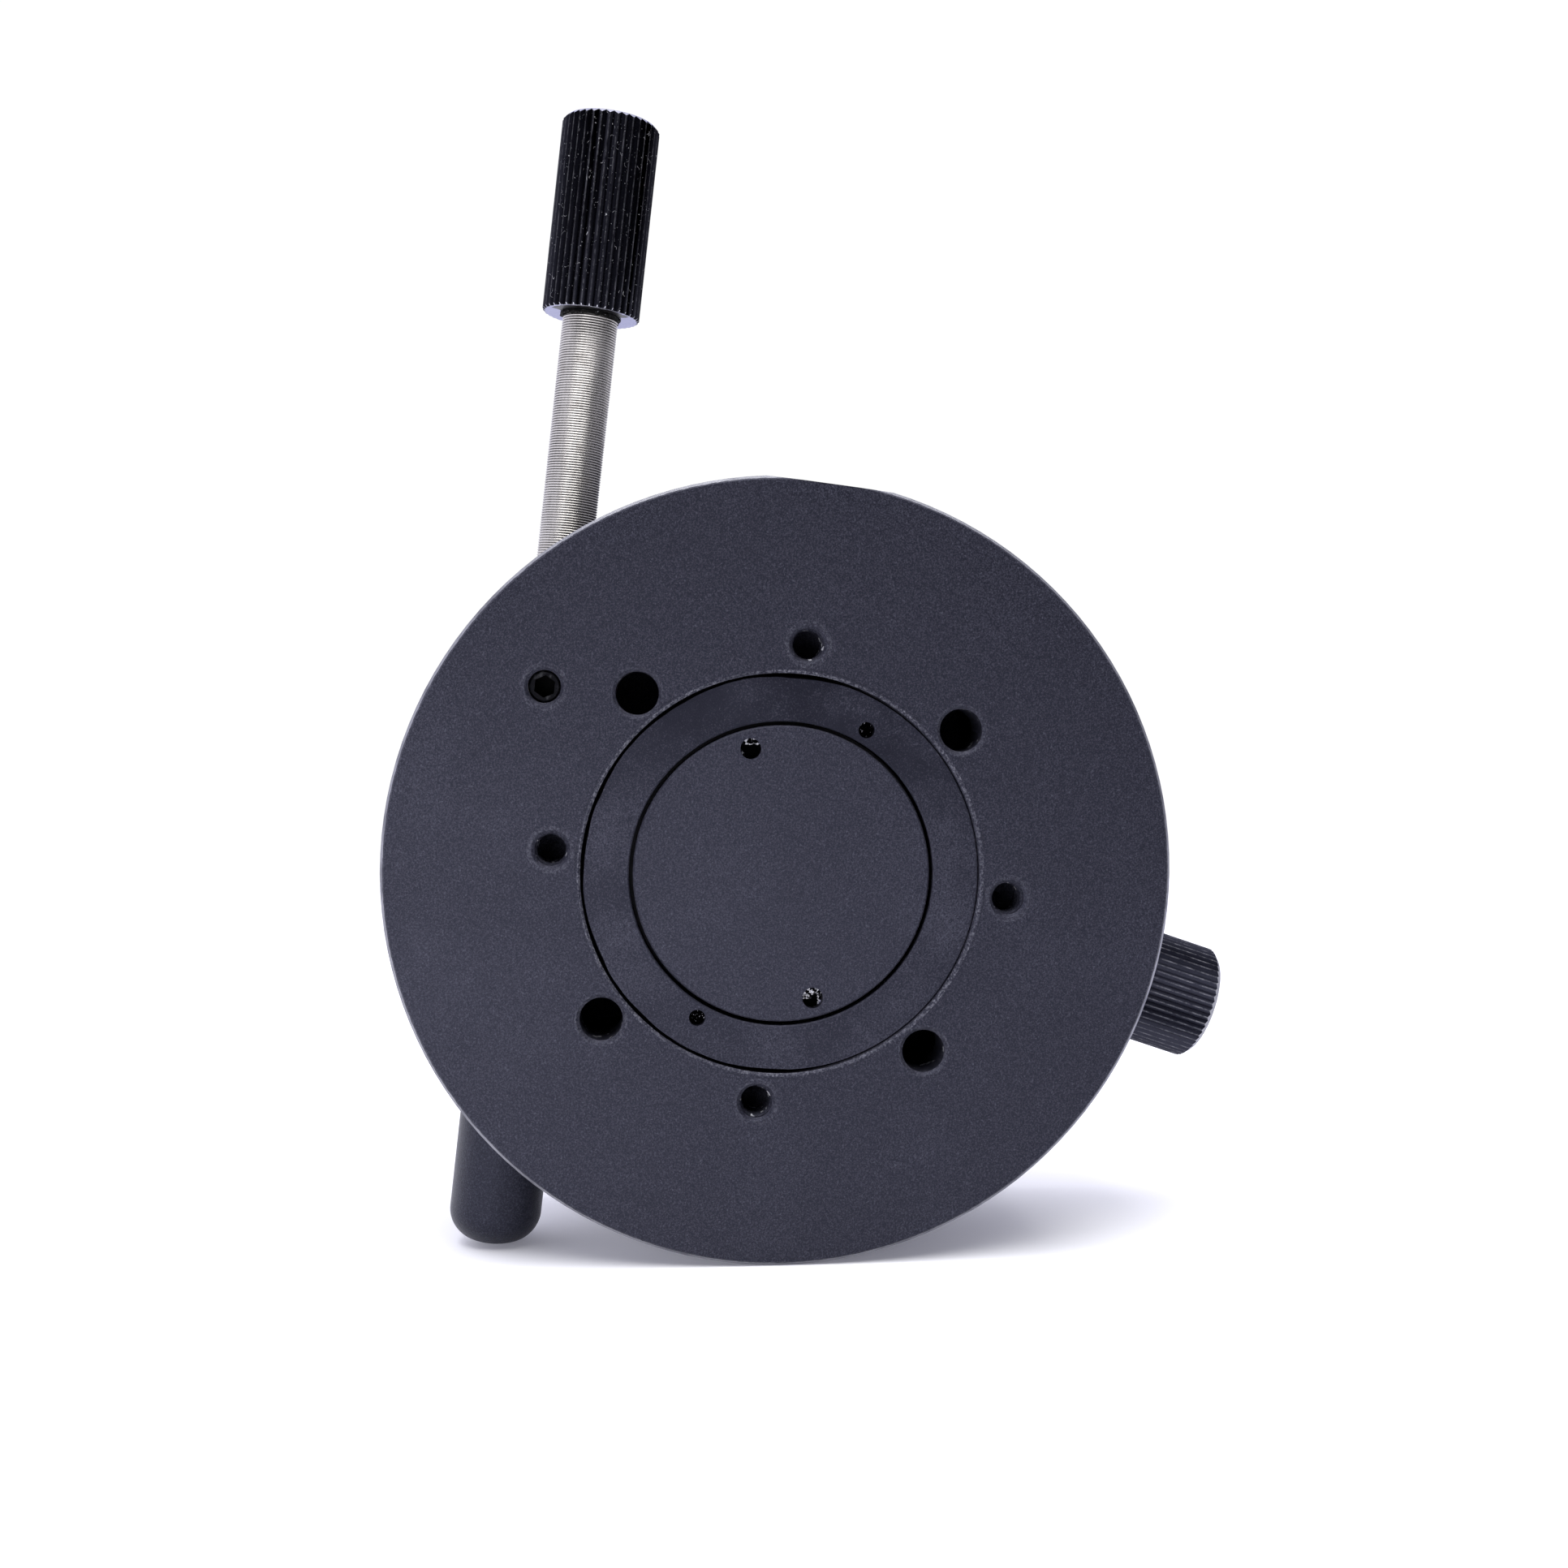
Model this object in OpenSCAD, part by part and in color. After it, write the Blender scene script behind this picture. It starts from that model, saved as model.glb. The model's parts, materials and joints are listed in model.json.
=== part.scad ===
// Manual rotation stage for an optical table. A round table turns freely through
// 360 degrees on a pair of ball bearings. A side knob locks it to a drive ring, and a
// fine screw then swings that ring by its tangent arm against a spring plunger.
// Lying on its base: +Z is the rotation axis, the origin is the centre of the base's
// underside, and the fine screw lies along +X on the -Y side.

/* [Base] */
// Diameter of the base
base_d = 121.5; // [118:0.5:128]
// Height of the base
base_h = 30; // [29:0.5:36]
// Edge chamfer round the base and the table
edge_chamfer = 0.65; // [0.3:0.05:1.2]
// Depth of the shallow index flat milled on the rim
flat_depth = 0.8; // [0.4:0.1:1.6]
// Direction of the index flat from +X, in degrees
flat_angle = 0.6; // [-3:0.1:3]
// Small bevel at the mouth of each hole
mouth_bevel = 0.5; // [0.2:0.05:0.8]

/* [Mounting holes] */
// Side of the square on which the four clearance holes lie
bolt_square = 50; // [49.5:0.25:51]
// Diameter of a clearance hole
clearance_d = 6.6; // [6:0.1:7.4]
// Diameter of the counterbore for the screw head
head_bore_d = 10.6; // [10:0.1:10.8]
// Thickness left under the screw head
head_floor = 9; // [6:0.5:12]
// Diameter of a tapped hole, as drilled for its thread
tapped_d = 5; // [4.2:0.1:5.4]
// Depth of a tapped hole
tapped_depth = 8; // [6:0.5:8.5]

/* [Bearings] */
// Outside diameter of each ball bearing
bearing_od = 52; // [48:0.5:56]
// Radial thickness of each ball bearing
bearing_section = 6; // [5.5:0.1:6.4]
// Width of each ball bearing
bearing_w = 7; // [6.6:0.1:7.2]
// Number of balls in each bearing
ball_count = 22; // [16:1:24]
// Diameter of a ball as a share of the bearing's section
ball_share = 0.6; // [0.54:0.01:0.64]
// Thickness of a race as a share of the bearing's section
race_share = 0.3; // [0.27:0.01:0.33]
// Width of the ball cage beside the balls
cage_rim = 0.6; // [0.4:0.1:0.8]
// Thickness of the spacers between the bearings
spacer_t = 1; // [0.6:0.1:1.4]

/* [Retaining ring and clamp disc] */
// Outside diameter of the retaining ring
ring_d = 61; // [60:0.2:61.6]
// Thickness of the retaining ring
ring_t = 4.2; // [3.8:0.1:4.6]
// How far the ring and the disc lie below the base's underside
face_recess = 0.4; // [0.2:0.1:0.8]
// Height of the ring's nose that presses on the bearing
nose_h = 1; // [0.8:0.1:1.4]
// Diameter of a spanner hole in the ring
ring_pin_d = 2.5; // [2:0.1:3]
// Distance of the ring's spanner holes from its bore
ring_pin_inset = 2.2; // [2:0.1:4]
// Direction of the ring's spanner holes from +X, in degrees
ring_pin_angle = 24.1; // [0:0.1:90]
// Gap between the ring and the clamp disc
disc_gap = 0.6; // [0.4:0.1:0.8]
// Diameter of a spanner hole in the disc
disc_pin_d = 3.2; // [2.6:0.1:3.8]
// Distance of the disc's spanner holes from its edge
disc_pin_inset = 3; // [2.6:0.1:6]
// Direction of the disc's spanner holes from +X, in degrees
disc_pin_angle = -20.4; // [-90:0.1:0]
// Depth of every spanner hole
pin_hole_depth = 2.2; // [1.5:0.1:3]

/* [Spindle and table] */
// Diameter of the hub that the drive ring turns on
hub_d = 48; // [47.6:0.1:48.2]
// Wall of the spindle inside the bearings
spindle_wall = 6; // [5:0.25:8]
// How far the table's edge lies inside the base's rim
table_inset = 2.25; // [1.75:0.25:5]
// Thickness of the table
table_t = 10.6; // [10.2:0.1:14]
// Gap between the base and the table
table_gap = 0.4; // [0.3:0.1:1]
// How deep the spindle's hub seats in the table
register_h = 2; // [1:0.1:2.2]
// Spacing of the table's tapped holes
grid = 25; // [24:0.25:25.5]
// Distance of the outer tapped holes from the table's edge
rim_hole_inset = 8.5; // [6:0.25:10]
// Diameter of the hole that gives access to the base screws
access_d = 11.5; // [11:0.1:12]
// Direction of the access hole from +X, in degrees
access_angle = 22.5; // [20:0.5:25]
// Distance of the table screws from the axis
table_screw_r = 17; // [16.8:0.1:17.4]

/* [Drive ring and lock] */
// Radial thickness of the drive ring
drive_ring_t = 5; // [4.4:0.1:5.2]
// Gap between the drive ring and the table
drive_top_gap = 0.9; // [0.7:0.1:1.5]
// Width of the tangent arm
arm_w = 12; // [10:0.5:13]
// Diameter of the hardened post in the arm
post_d = 8; // [7:0.5:9]
// Direction of the lock knob from +X, in degrees
lock_angle = 102.4; // [98:0.1:106]
// Width of the boss that holds the lock screw
lock_boss_w = 11; // [10:0.5:12]
// Distance from the axis to the end of that boss
lock_boss_r = 43; // [38:0.5:46]
// Diameter of the lock screw
lock_screw_d = 5; // [4:0.5:5]
// Diameter of the lock knob
lock_knob_d = 19.1; // [16:0.1:20]
// Length of the lock knob
lock_knob_len = 15.8; // [12:0.1:20]
// Gap between the base's rim and the lock knob
lock_knob_gap = 1.3; // [0.6:0.1:2]
// Number of grooves round the lock knob
lock_knob_teeth = 50; // [40:1:56]

/* [Fine screw] */
// Distance of the fine screw from the rotation axis
screw_offset = 39; // [38.6:0.1:39.6]
// Height of the fine screw above the base's underside
screw_height = 16; // [15.6:0.1:16.4]
// Diameter of the fine screw
screw_d = 8.8; // [8:0.1:9]
// Diameter of the ball at the screw's tip
tip_ball_d = 6; // [5:0.5:6.5]
// Distance along X from the axis to the fine knob
knob_x = 83.6; // [75:0.1:95]
// Diameter of the fine knob
knob_d = 15.4; // [14:0.1:18]
// Length of the fine knob
knob_len = 30.3; // [24:0.1:36]
// Number of grooves round the fine knob
knob_teeth = 38; // [30:1:44]
// Diameter of the threaded bush
bush_d = 13; // [12:0.1:13.4]
// Length of the threaded bush
bush_len = 23; // [18:0.5:24]
// Distance along X from the axis to the set screw
set_screw_x = 24.4; // [22:0.1:30]
// How deep the set screw lies in its hole
set_screw_recess = 1.2; // [0.6:0.1:2]

/* [Spring plunger] */
// Diameter of the spring housing
housing_d = 14.6; // [13:0.1:14.8]
// Distance of the spring housing from the rotation axis
housing_offset = 38.6; // [38.4:0.1:39.4]
// Distance along X from the axis to the end of the housing
housing_x = 65; // [62:0.1:72]
// Radius of the housing's rounded end
housing_round = 5; // [3:0.5:6]
// Bore of the spring housing
housing_bore = 9.2; // [8.6:0.1:10]
// Thickness of the housing's closed end
housing_end_t = 5.2; // [5:0.1:7]
// Diameter of the plunger's nose
nose_d = 5; // [4:0.5:6]
// Length of the plunger's guide
guide_len = 12; // [8:0.5:13]
// Diameter of the spring's wire
wire_d = 1; // [0.8:0.1:1.2]
// Number of turns in the spring
spring_turns = 9; // [6:1:11]

/* [Hidden] */
$fn = 72;
eps = 0.01;               // overlap of cutting tools
run_fit = 0.05;           // radial clearance of a running fit
seat_fit = 0.02;          // radial clearance of a fixed fit
arm_travel = 4.8;         // travel of the fine screw each way
arm_swing = arm_travel / screw_offset * 180 / PI;

anodise = "#26272d";
steel = "#b9b9b6";
bare_steel = "#8d8f92";
brass = "#b89a55";

base_r = base_d / 2;
ring_recess_d = ring_d + 2 * run_fit;
disc_t = ring_t + nose_h;
bearing_z = face_recess + disc_t;                 // underside of the lower bearing
upper_z = bearing_z + bearing_w + spacer_t;       // underside of the upper bearing
bearing_top = upper_z + bearing_w;
bearing_bore = bearing_od - 2 * bearing_section;
bearing_pitch_r = (bearing_bore + bearing_od) / 4;
ball_d = bearing_section * ball_share;
cage_w = ball_d + 2 * cage_rim;
race_t = bearing_section * race_share;            // beside the groove
cage_gap = 0.5;                                   // between the cage and each race
cage_t = bearing_section - 2 * race_t - 2 * cage_gap;
disc_inset = 0.2;                                 // disc's edge inside the balls' circle
disc_d = 2 * (bearing_pitch_r - disc_inset);
ring_bore = disc_d + 2 * disc_gap;
groove_r = ball_d / 2 + run_fit;
lip_t = 1;                                        // shoulder over the upper outer race
lip_relief = 0.4;                                 // shoulder's inner edge from the race's
lip_r = bearing_od / 2 - race_t + lip_relief;
ring_seat_gap = 0.4;                              // between the ring and the base's shoulder
nose_inset = 0.1;                                 // nose's outer edge from the race's
nose_relief = 0.3;                                // nose's inner edge from the race's
spindle_bore = bearing_bore - 2 * spindle_wall;
drive_floor = bearing_top + lip_t;                // floor of the drive ring's pocket
ring_gap = 0.1;                                   // under the drive ring
drive_z = drive_floor + ring_gap;
drive_r = hub_d / 2 + drive_ring_t;
pocket_gap = 0.3;                                 // round the drive ring
pocket_r = drive_r + pocket_gap;
table_z = base_h + table_gap;
drive_ring_h = table_z - drive_top_gap - drive_z;
lock_z = drive_z + drive_ring_h / 2;
table_top = table_z + table_t;
table_r = base_r - table_inset;
table_screw_grip = 2;                             // of a table screw past the table
bolt_circle_r = bolt_square / sqrt(2);
tap_floor = 0.6;                                  // left under the table's tapped holes
table_tap_depth = table_t - register_h - tap_floor;

post_wall = 2.5;                                  // of the arm round its post
arm_end_r = post_d / 2 + post_wall;
post_foot_gap = 0.6;                              // between the post and the pocket's floor
arm_clear = 0.9;                                  // room round the arm at its limits
arm_pocket_x = 17;                                // half length of the arm's pocket
bore_overlap = 1;                                 // of the bores beside it with the pocket
arm_pocket_in = screw_offset - arm_end_r - arm_clear;
arm_pocket_out = screw_offset + arm_end_r + arm_clear;
drill_angle = 31;                                 // slope of a drill point
arm_floor_t = 1.1;                                // left over a tapped hole's drill point
arm_pocket_floor = tapped_depth + tapped_d / 2 * tan(drill_angle) + arm_floor_t;
arm_neck_w = arm_w + 2 * (arm_pocket_in * sin(arm_swing) + arm_clear);
lock_slot_w = lock_boss_w + 2 * (lock_boss_r * sin(arm_swing) + arm_clear);

tip_gap = 0.05;                                   // between the post and what touches it
ball_x = post_d / 2 + tip_gap + tip_ball_d / 2;   // centre of the ball at the screw's tip
ball_cup = 0.7;                                   // share of the ball's radius in its cup
screw_x = ball_x + (1 - ball_cup) * tip_ball_d / 2;  // inner end of the screw
shank_d = 7;                                      // screw's shank inside the knob
shank_inset = 9;                                  // of the shank from the knob's outer end
shank_len = knob_len - shank_inset;
shank_gap = 0.2;                                  // past the shank in the knob
knob_screw_grip = 7;                              // of the knob's screw in the shank
thread_depth = 9;                                 // depth of a hole for a small screw
end_bevel = 0.5;                                  // on the ends of turned pieces
cap_head_d = 7;                                   // M4 cap screw
cap_head_h = 4;
cap_recess = 0.4;                                 // of a cap screw's head in its hole
cap_gap = 0.2;                                    // round a cap screw
cap_d = 4;
knob_bore_depth = cap_head_h + cap_recess;        // counterbore for the knob's screw
set_screw_d = tapped_d - 2 * run_fit;
set_screw_len = screw_height - bush_d / 2 - set_screw_recess;

plunger_tip_x = post_d / 2 + tip_gap;
guide_inset = 10;                                 // of the guide in the housing
guide_x = arm_pocket_x + guide_inset;             // front of the plunger's guide
spring_gap = 0.1;                                 // at each end of the spring
spring_x0 = housing_x - housing_end_t - spring_gap;
spring_x1 = guide_x + guide_len + spring_gap;
spring_side_gap = 0.4;                            // round the spring
spring_r = (housing_bore - wire_d) / 2 - spring_side_gap;
spigot_len = 4;                                   // of the plunger inside its spring

lock_knob_r0 = base_r + lock_knob_gap;            // inner end of the lock knob
lock_head_d = 8.5;
lock_head_h = 5;
lock_head_recess = 1;                             // of the screw's head in the knob
pad_len = 4.2;
pad_gap = 0.1;                                    // between the pad and the lock screw

spindle_foot_gap = 0.3;                           // between the spindle and the disc
spindle_web_t = 8.8;                              // closed top of the spindle
disc_spigot_len = 6.5;                            // of the clamp disc in the spindle

// ---- shared shapes ------------------------------------------------------------------

// Places children along the fine screw's axis, with their +Z outwards along +X.
module on_screw_axis() {
    translate([0, -screw_offset, screw_height]) rotate([0, 90, 0]) children();
}

// Places children along the plunger's axis, with their +Z outwards along -X.
module on_plunger_axis() {
    translate([0, -housing_offset, screw_height]) rotate([0, -90, 0]) children();
}

// Places children on the lock screw's axis: their +Z points outwards.
module on_lock_axis() {
    rotate([0, 0, lock_angle]) translate([0, 0, lock_z]) rotate([0, 90, 0]) children();
}

// Repeats children on the corners of a square.
module on_corners(side) {
    for (x = [-1, 1], y = [-1, 1]) translate([x * side / 2, y * side / 2, 0]) children();
}

// Repeats children at four quarter turns on a circle.
module on_quarters(r, start = 0) {
    for (q = [0:3]) rotate([0, 0, start + 90 * q]) translate([r, 0, 0]) children();
}

// Hole cut upwards from the plane z = 0, with its mouth bevelled.
module bevelled_hole(d, depth) {
    translate([0, 0, -eps]) cylinder(d = d, h = depth + eps);
    translate([0, 0, -eps]) cylinder(r1 = d / 2 + mouth_bevel + eps, r2 = d / 2, h = mouth_bevel + eps);
}

// Blind tapped hole with its drill point, cut upwards from z = 0.
module tapped_hole(d, depth) {
    bevelled_hole(d, depth);
    translate([0, 0, depth - eps]) cylinder(r1 = d / 2, r2 = 0, h = d / 2 * tan(drill_angle));
}

// Hexagon socket cut downwards from the plane z = 0.
module hex_socket(across_flats, depth) {
    translate([0, 0, -depth]) cylinder(d = across_flats / cos(30), h = depth + eps, $fn = 6);
}

// Cap screw with its head's seat at z = 0, its shank downwards.
module cap_screw(head_d, head_h, shank, len, socket) {
    difference() {
        union() {
            translate([0, 0, -len]) cylinder(d = shank, h = len + eps);
            rotate_extrude() polygon([
                [0, 0], [head_d / 2, 0], [head_d / 2, head_h - 0.3],
                [head_d / 2 - 0.3, head_h], [0, head_h]
            ]);
        }
        translate([0, 0, head_h]) hex_socket(socket, head_h / 2);
    }
}

// Plate outline with round corners, from x0 to x1 and y0 to y1.
module round_corners(x0, x1, y0, y1, r) {
    translate([x0 + r, y0]) square([x1 - x0 - 2 * r, y1 - y0]);
    translate([x0, y0 + r]) square([x1 - x0, y1 - y0 - 2 * r]);
    for (x = [x0 + r, x1 - r], y = [y0 + r, y1 - r]) translate([x, y]) circle(r);
}

// Knob along +Z with straight V grooves and a chamfer at each end.
module knurled_body(d, len, teeth, chamfer0, chamfer1) {
    groove = PI * d / teeth * 0.4;
    star = [for (i = [0:2 * teeth - 1])
        let (r = d / 2 - (i % 2) * groove, a = 180 * i / teeth) [r * cos(a), r * sin(a)]];
    intersection() {
        linear_extrude(len) polygon(star);
        rotate_extrude() polygon([
            [0, 0], [d / 2 - chamfer0, 0], [d / 2 + eps, chamfer0 + eps],
            [d / 2 + eps, len - chamfer1 - eps], [d / 2 - chamfer1, len], [0, len]
        ]);
    }
}

// Bearing race between two radii, with its ball groove at the pitch radius.
module race(r0, r1) {
    rotate_extrude() difference() {
        translate([r0, 0]) square([r1 - r0, bearing_w]);
        translate([bearing_pitch_r, bearing_w / 2]) circle(groove_r);
    }
}

module outer_race() { race(bearing_od / 2 - race_t, bearing_od / 2); }

module inner_race() { race(bearing_bore / 2, bearing_bore / 2 + race_t); }

module ball_cage() {
    difference() {
        rotate_extrude()
            translate([bearing_pitch_r - cage_t / 2, (bearing_w - cage_w) / 2])
            square([cage_t, cage_w]);
        for (i = [0:ball_count - 1])
            rotate([0, 0, 360 * i / ball_count])
            translate([bearing_pitch_r - cage_t, 0, bearing_w / 2])
            rotate([0, 90, 0]) cylinder(r = ball_d / 2 + 2 * run_fit, h = 2 * cage_t);
    }
}

module balls() {
    for (i = [0:ball_count - 1])
        rotate([0, 0, 360 * i / ball_count])
        translate([bearing_pitch_r, 0, bearing_w / 2]) sphere(d = ball_d);
}

// ---- base and what is fixed in it ---------------------------------------------------

// Turned body of the base: stepped bearing bore below, drive ring's pocket above.
module base_blank() {
    c = edge_chamfer;
    recess_r = ring_recess_d / 2;
    recess_top = face_recess + ring_t + ring_seat_gap;
    rotate_extrude($fn = 144) polygon([
        [recess_r + mouth_bevel, 0], [base_r - c, 0], [base_r, c],
        [base_r, base_h - c], [base_r - c, base_h], [pocket_r, base_h],
        [pocket_r, drive_floor], [lip_r, drive_floor], [lip_r, bearing_top],
        [bearing_od / 2 + seat_fit, bearing_top], [bearing_od / 2 + seat_fit, recess_top],
        [recess_r, recess_top], [recess_r, mouth_bevel]
    ]);
}

// Room for the tangent arm: a deep pocket round the post and a neck to the ring's pocket.
module arm_pocket() {
    translate([0, 0, arm_pocket_floor]) linear_extrude(base_h)
        round_corners(-arm_pocket_x, arm_pocket_x, -arm_pocket_out, -arm_pocket_in, 3);
    translate([-arm_neck_w / 2, -arm_pocket_in - 4, drive_floor])
        cube([arm_neck_w, arm_pocket_in + 4 - hub_d / 2, base_h]);
}

// Slot through the rim in which the lock screw swings with the drive ring.
module lock_slot() {
    rotate([0, 0, lock_angle]) translate([hub_d / 2, -lock_slot_w / 2, drive_floor])
        cube([base_r, lock_slot_w, base_h]);
}

module base() {
    color(anodise) difference() {
        base_blank();
        rotate([0, 0, flat_angle]) translate([base_r - flat_depth, -base_r / 2, -1])
            cube([base_r, base_r, base_h + 2]);
        on_corners(bolt_square) {
            bevelled_hole(clearance_d, base_h);
            translate([0, 0, head_floor]) cylinder(d = head_bore_d, h = base_h);
        }
        on_quarters(bolt_circle_r) tapped_hole(tapped_d, tapped_depth);
        translate([set_screw_x, -screw_offset, 0]) bevelled_hole(tapped_d, screw_height);
        on_screw_axis() translate([0, 0, arm_pocket_x - bore_overlap])
            cylinder(d = bush_d + 2 * seat_fit, h = base_r);
        on_plunger_axis() translate([0, 0, arm_pocket_x - bore_overlap])
            cylinder(d = housing_d + 2 * seat_fit, h = base_r);
        arm_pocket();
        lock_slot();
    }
}

// Two spanner holes cut upwards from the recessed faces.
module spanner_holes(d, r, angle) {
    for (side = [0, 180]) rotate([0, 0, angle + side])
        translate([r, 0, face_recess - eps]) cylinder(d = d, h = pin_hole_depth);
}

module retaining_ring() {
    b = 0.2;
    r0 = ring_bore / 2;
    r1 = ring_d / 2;
    nose_r0 = bearing_od / 2 - race_t + nose_relief;
    nose_r1 = bearing_od / 2 - nose_inset;
    top = face_recess + ring_t;
    color(anodise) difference() {
        rotate_extrude() polygon([
            [r0, face_recess + b], [r0 + b, face_recess], [r1 - b, face_recess],
            [r1, face_recess + b], [r1, top], [nose_r1, top], [nose_r1, bearing_z],
            [nose_r0, bearing_z], [nose_r0, top], [r0, top]
        ]);
        spanner_holes(ring_pin_d, ring_bore / 2 + ring_pin_inset, ring_pin_angle);
    }
}

module lower_outer_race() { color(bare_steel) translate([0, 0, bearing_z]) outer_race(); }

module upper_outer_race() { color(bare_steel) translate([0, 0, upper_z]) outer_race(); }

module outer_spacer() {
    color(steel) translate([0, 0, upper_z - spacer_t]) rotate_extrude()
        translate([bearing_od / 2 - race_t, 0]) square([race_t, spacer_t]);
}

// Threaded bush that carries the fine screw, held by the set screw from below.
module adjuster_bush() {
    color(brass) on_screw_axis() translate([0, 0, arm_pocket_x]) difference() {
        rotate_extrude() polygon([
            [0, 0], [bush_d / 2, 0], [bush_d / 2, bush_len - end_bevel],
            [bush_d / 2 - end_bevel, bush_len], [0, bush_len]
        ]);
        translate([0, 0, -1]) cylinder(d = screw_d + 2 * run_fit, h = bush_len + 2);
    }
}

module bush_set_screw() {
    r = set_screw_d / 2;
    color(bare_steel) translate([set_screw_x, -screw_offset, set_screw_recess]) difference() {
        rotate_extrude() polygon([
            [0, 0], [r - 0.3, 0], [r, 0.3], [r, set_screw_len - 0.6],
            [r - 0.8, set_screw_len], [0, set_screw_len]
        ]);
        rotate([180, 0, 0]) hex_socket(3, 3);
    }
}

// Closed tube that holds the spring and guides the plunger.
module spring_housing() {
    r = housing_d / 2;
    end = housing_x - arm_pocket_x;
    color(anodise) on_plunger_axis() translate([0, 0, arm_pocket_x]) difference() {
        rotate_extrude() union() {
            square([r, end - housing_round]);
            square([r - housing_round, end]);
            translate([r - housing_round, end - housing_round]) intersection() {
                circle(housing_round);
                square(housing_round);
            }
        }
        translate([0, 0, -1]) cylinder(d = housing_bore, h = end - housing_end_t + 1);
    }
}

// ---- drive ring and lock ------------------------------------------------------------

module drive_ring() {
    color(anodise) difference() {
        translate([0, 0, drive_z]) linear_extrude(drive_ring_h) {
            circle(drive_r, $fn = 120);
            translate([-arm_w / 2, -screw_offset]) square([arm_w, screw_offset]);
            translate([0, -screw_offset]) circle(arm_end_r);
            rotate([0, 0, lock_angle]) translate([0, -lock_boss_w / 2])
                square([lock_boss_r, lock_boss_w]);
        }
        translate([0, 0, drive_z - 1]) cylinder(d = hub_d + 2 * run_fit, h = drive_ring_h + 2);
        translate([0, -screw_offset, drive_z - 1]) cylinder(d = post_d, h = drive_ring_h + 2);
        on_lock_axis() cylinder(d = lock_screw_d + 2 * run_fit, h = lock_boss_r + 1);
    }
}

// Hardened pin, pressed in the arm, on which the fine screw and the plunger bear.
module arm_post() {
    z0 = arm_pocket_floor + post_foot_gap;
    z1 = drive_z + drive_ring_h;
    color(steel) translate([0, -screw_offset, 0]) rotate_extrude() polygon([
        [0, z0], [post_d / 2 - end_bevel, z0], [post_d / 2, z0 + end_bevel], [post_d / 2, z1],
        [0, z1]
    ]);
}

module lock_pad() {
    color(brass) on_lock_axis() translate([0, 0, hub_d / 2 + run_fit])
        cylinder(d = lock_screw_d, h = pad_len);
}

// Cap screw whose head is pressed in the lock knob.
module lock_screw() {
    seat = lock_knob_r0 + lock_knob_len - lock_head_h - lock_head_recess;
    color(steel) on_lock_axis() translate([0, 0, seat])
        cap_screw(lock_head_d, lock_head_h, lock_screw_d,
                  seat - hub_d / 2 - run_fit - pad_len - pad_gap, 4);
}

module lock_knob() {
    color(anodise) on_lock_axis() translate([0, 0, lock_knob_r0]) difference() {
        knurled_body(lock_knob_d, lock_knob_len, lock_knob_teeth, 0.6, 1);
        translate([0, 0, -1]) cylinder(d = lock_screw_d + 2 * seat_fit, h = lock_knob_len + 2);
        translate([0, 0, lock_knob_len - lock_head_h - lock_head_recess])
            cylinder(d = lock_head_d + 2 * seat_fit, h = lock_head_h + lock_head_recess + 1);
    }
}

// ---- table and spindle --------------------------------------------------------------

module spindle() {
    journal_r = bearing_bore / 2 - seat_fit;
    shoulder_r = bearing_bore / 2 + race_t;
    foot = bearing_z + spindle_foot_gap;
    top = table_z + register_h;
    color(bare_steel) difference() {
        rotate_extrude() polygon([
            [spindle_bore / 2, foot], [journal_r, foot], [journal_r, bearing_top],
            [shoulder_r, bearing_top], [shoulder_r, drive_z], [hub_d / 2, drive_z],
            [hub_d / 2, top], [0, top], [0, top - spindle_web_t],
            [spindle_bore / 2, top - spindle_web_t]
        ]);
        translate([0, 0, top - thread_depth]) on_quarters(table_screw_r, 45)
            cylinder(d = cap_d + 2 * seat_fit, h = thread_depth + 1);
    }
}

module lower_inner_race() { color(bare_steel) translate([0, 0, bearing_z]) inner_race(); }

module upper_inner_race() { color(bare_steel) translate([0, 0, upper_z]) inner_race(); }

module inner_spacer() {
    color(steel) translate([0, 0, upper_z - spacer_t]) rotate_extrude()
        translate([bearing_bore / 2, 0]) square([race_t, spacer_t]);
}

// Disc that closes the spindle and clamps the inner races.
module clamp_disc() {
    b = 0.25;
    r = disc_d / 2;
    spigot_r = spindle_bore / 2 - seat_fit;
    spigot_top = bearing_z + disc_spigot_len;
    color(anodise) difference() {
        rotate_extrude() polygon([
            [0, face_recess], [r - b, face_recess], [r, face_recess + b],
            [r, bearing_z], [spigot_r, bearing_z], [spigot_r, spigot_top - end_bevel],
            [spigot_r - end_bevel, spigot_top], [0, spigot_top]
        ]);
        spanner_holes(disc_pin_d, disc_d / 2 - disc_pin_inset, disc_pin_angle);
    }
}

module table() {
    c = edge_chamfer;
    register_r = hub_d / 2 + seat_fit;
    color(anodise) difference() {
        rotate_extrude($fn = 144) polygon([
            [0, table_z + register_h], [register_r, table_z + register_h],
            [register_r, table_z], [table_r - c, table_z], [table_r, table_z + c],
            [table_r, table_top - c], [table_r - c, table_top], [0, table_top]
        ]);
        translate([0, 0, table_top]) mirror([0, 0, 1]) {
            bevelled_hole(tapped_d, table_tap_depth);
            on_quarters(grid) bevelled_hole(tapped_d, table_tap_depth);
            on_quarters(table_r - rim_hole_inset) bevelled_hole(tapped_d, table_tap_depth);
            on_corners(2 * grid) bevelled_hole(tapped_d, table_tap_depth);
            rotate([0, 0, access_angle]) translate([bolt_circle_r, 0, 0])
                bevelled_hole(access_d, table_t + 1);
            on_quarters(table_screw_r, 45) {
                bevelled_hole(cap_head_d + 2 * cap_gap, cap_head_h + cap_recess);
                cylinder(d = cap_d + 2 * cap_gap, h = table_t);
            }
        }
    }
}

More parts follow.
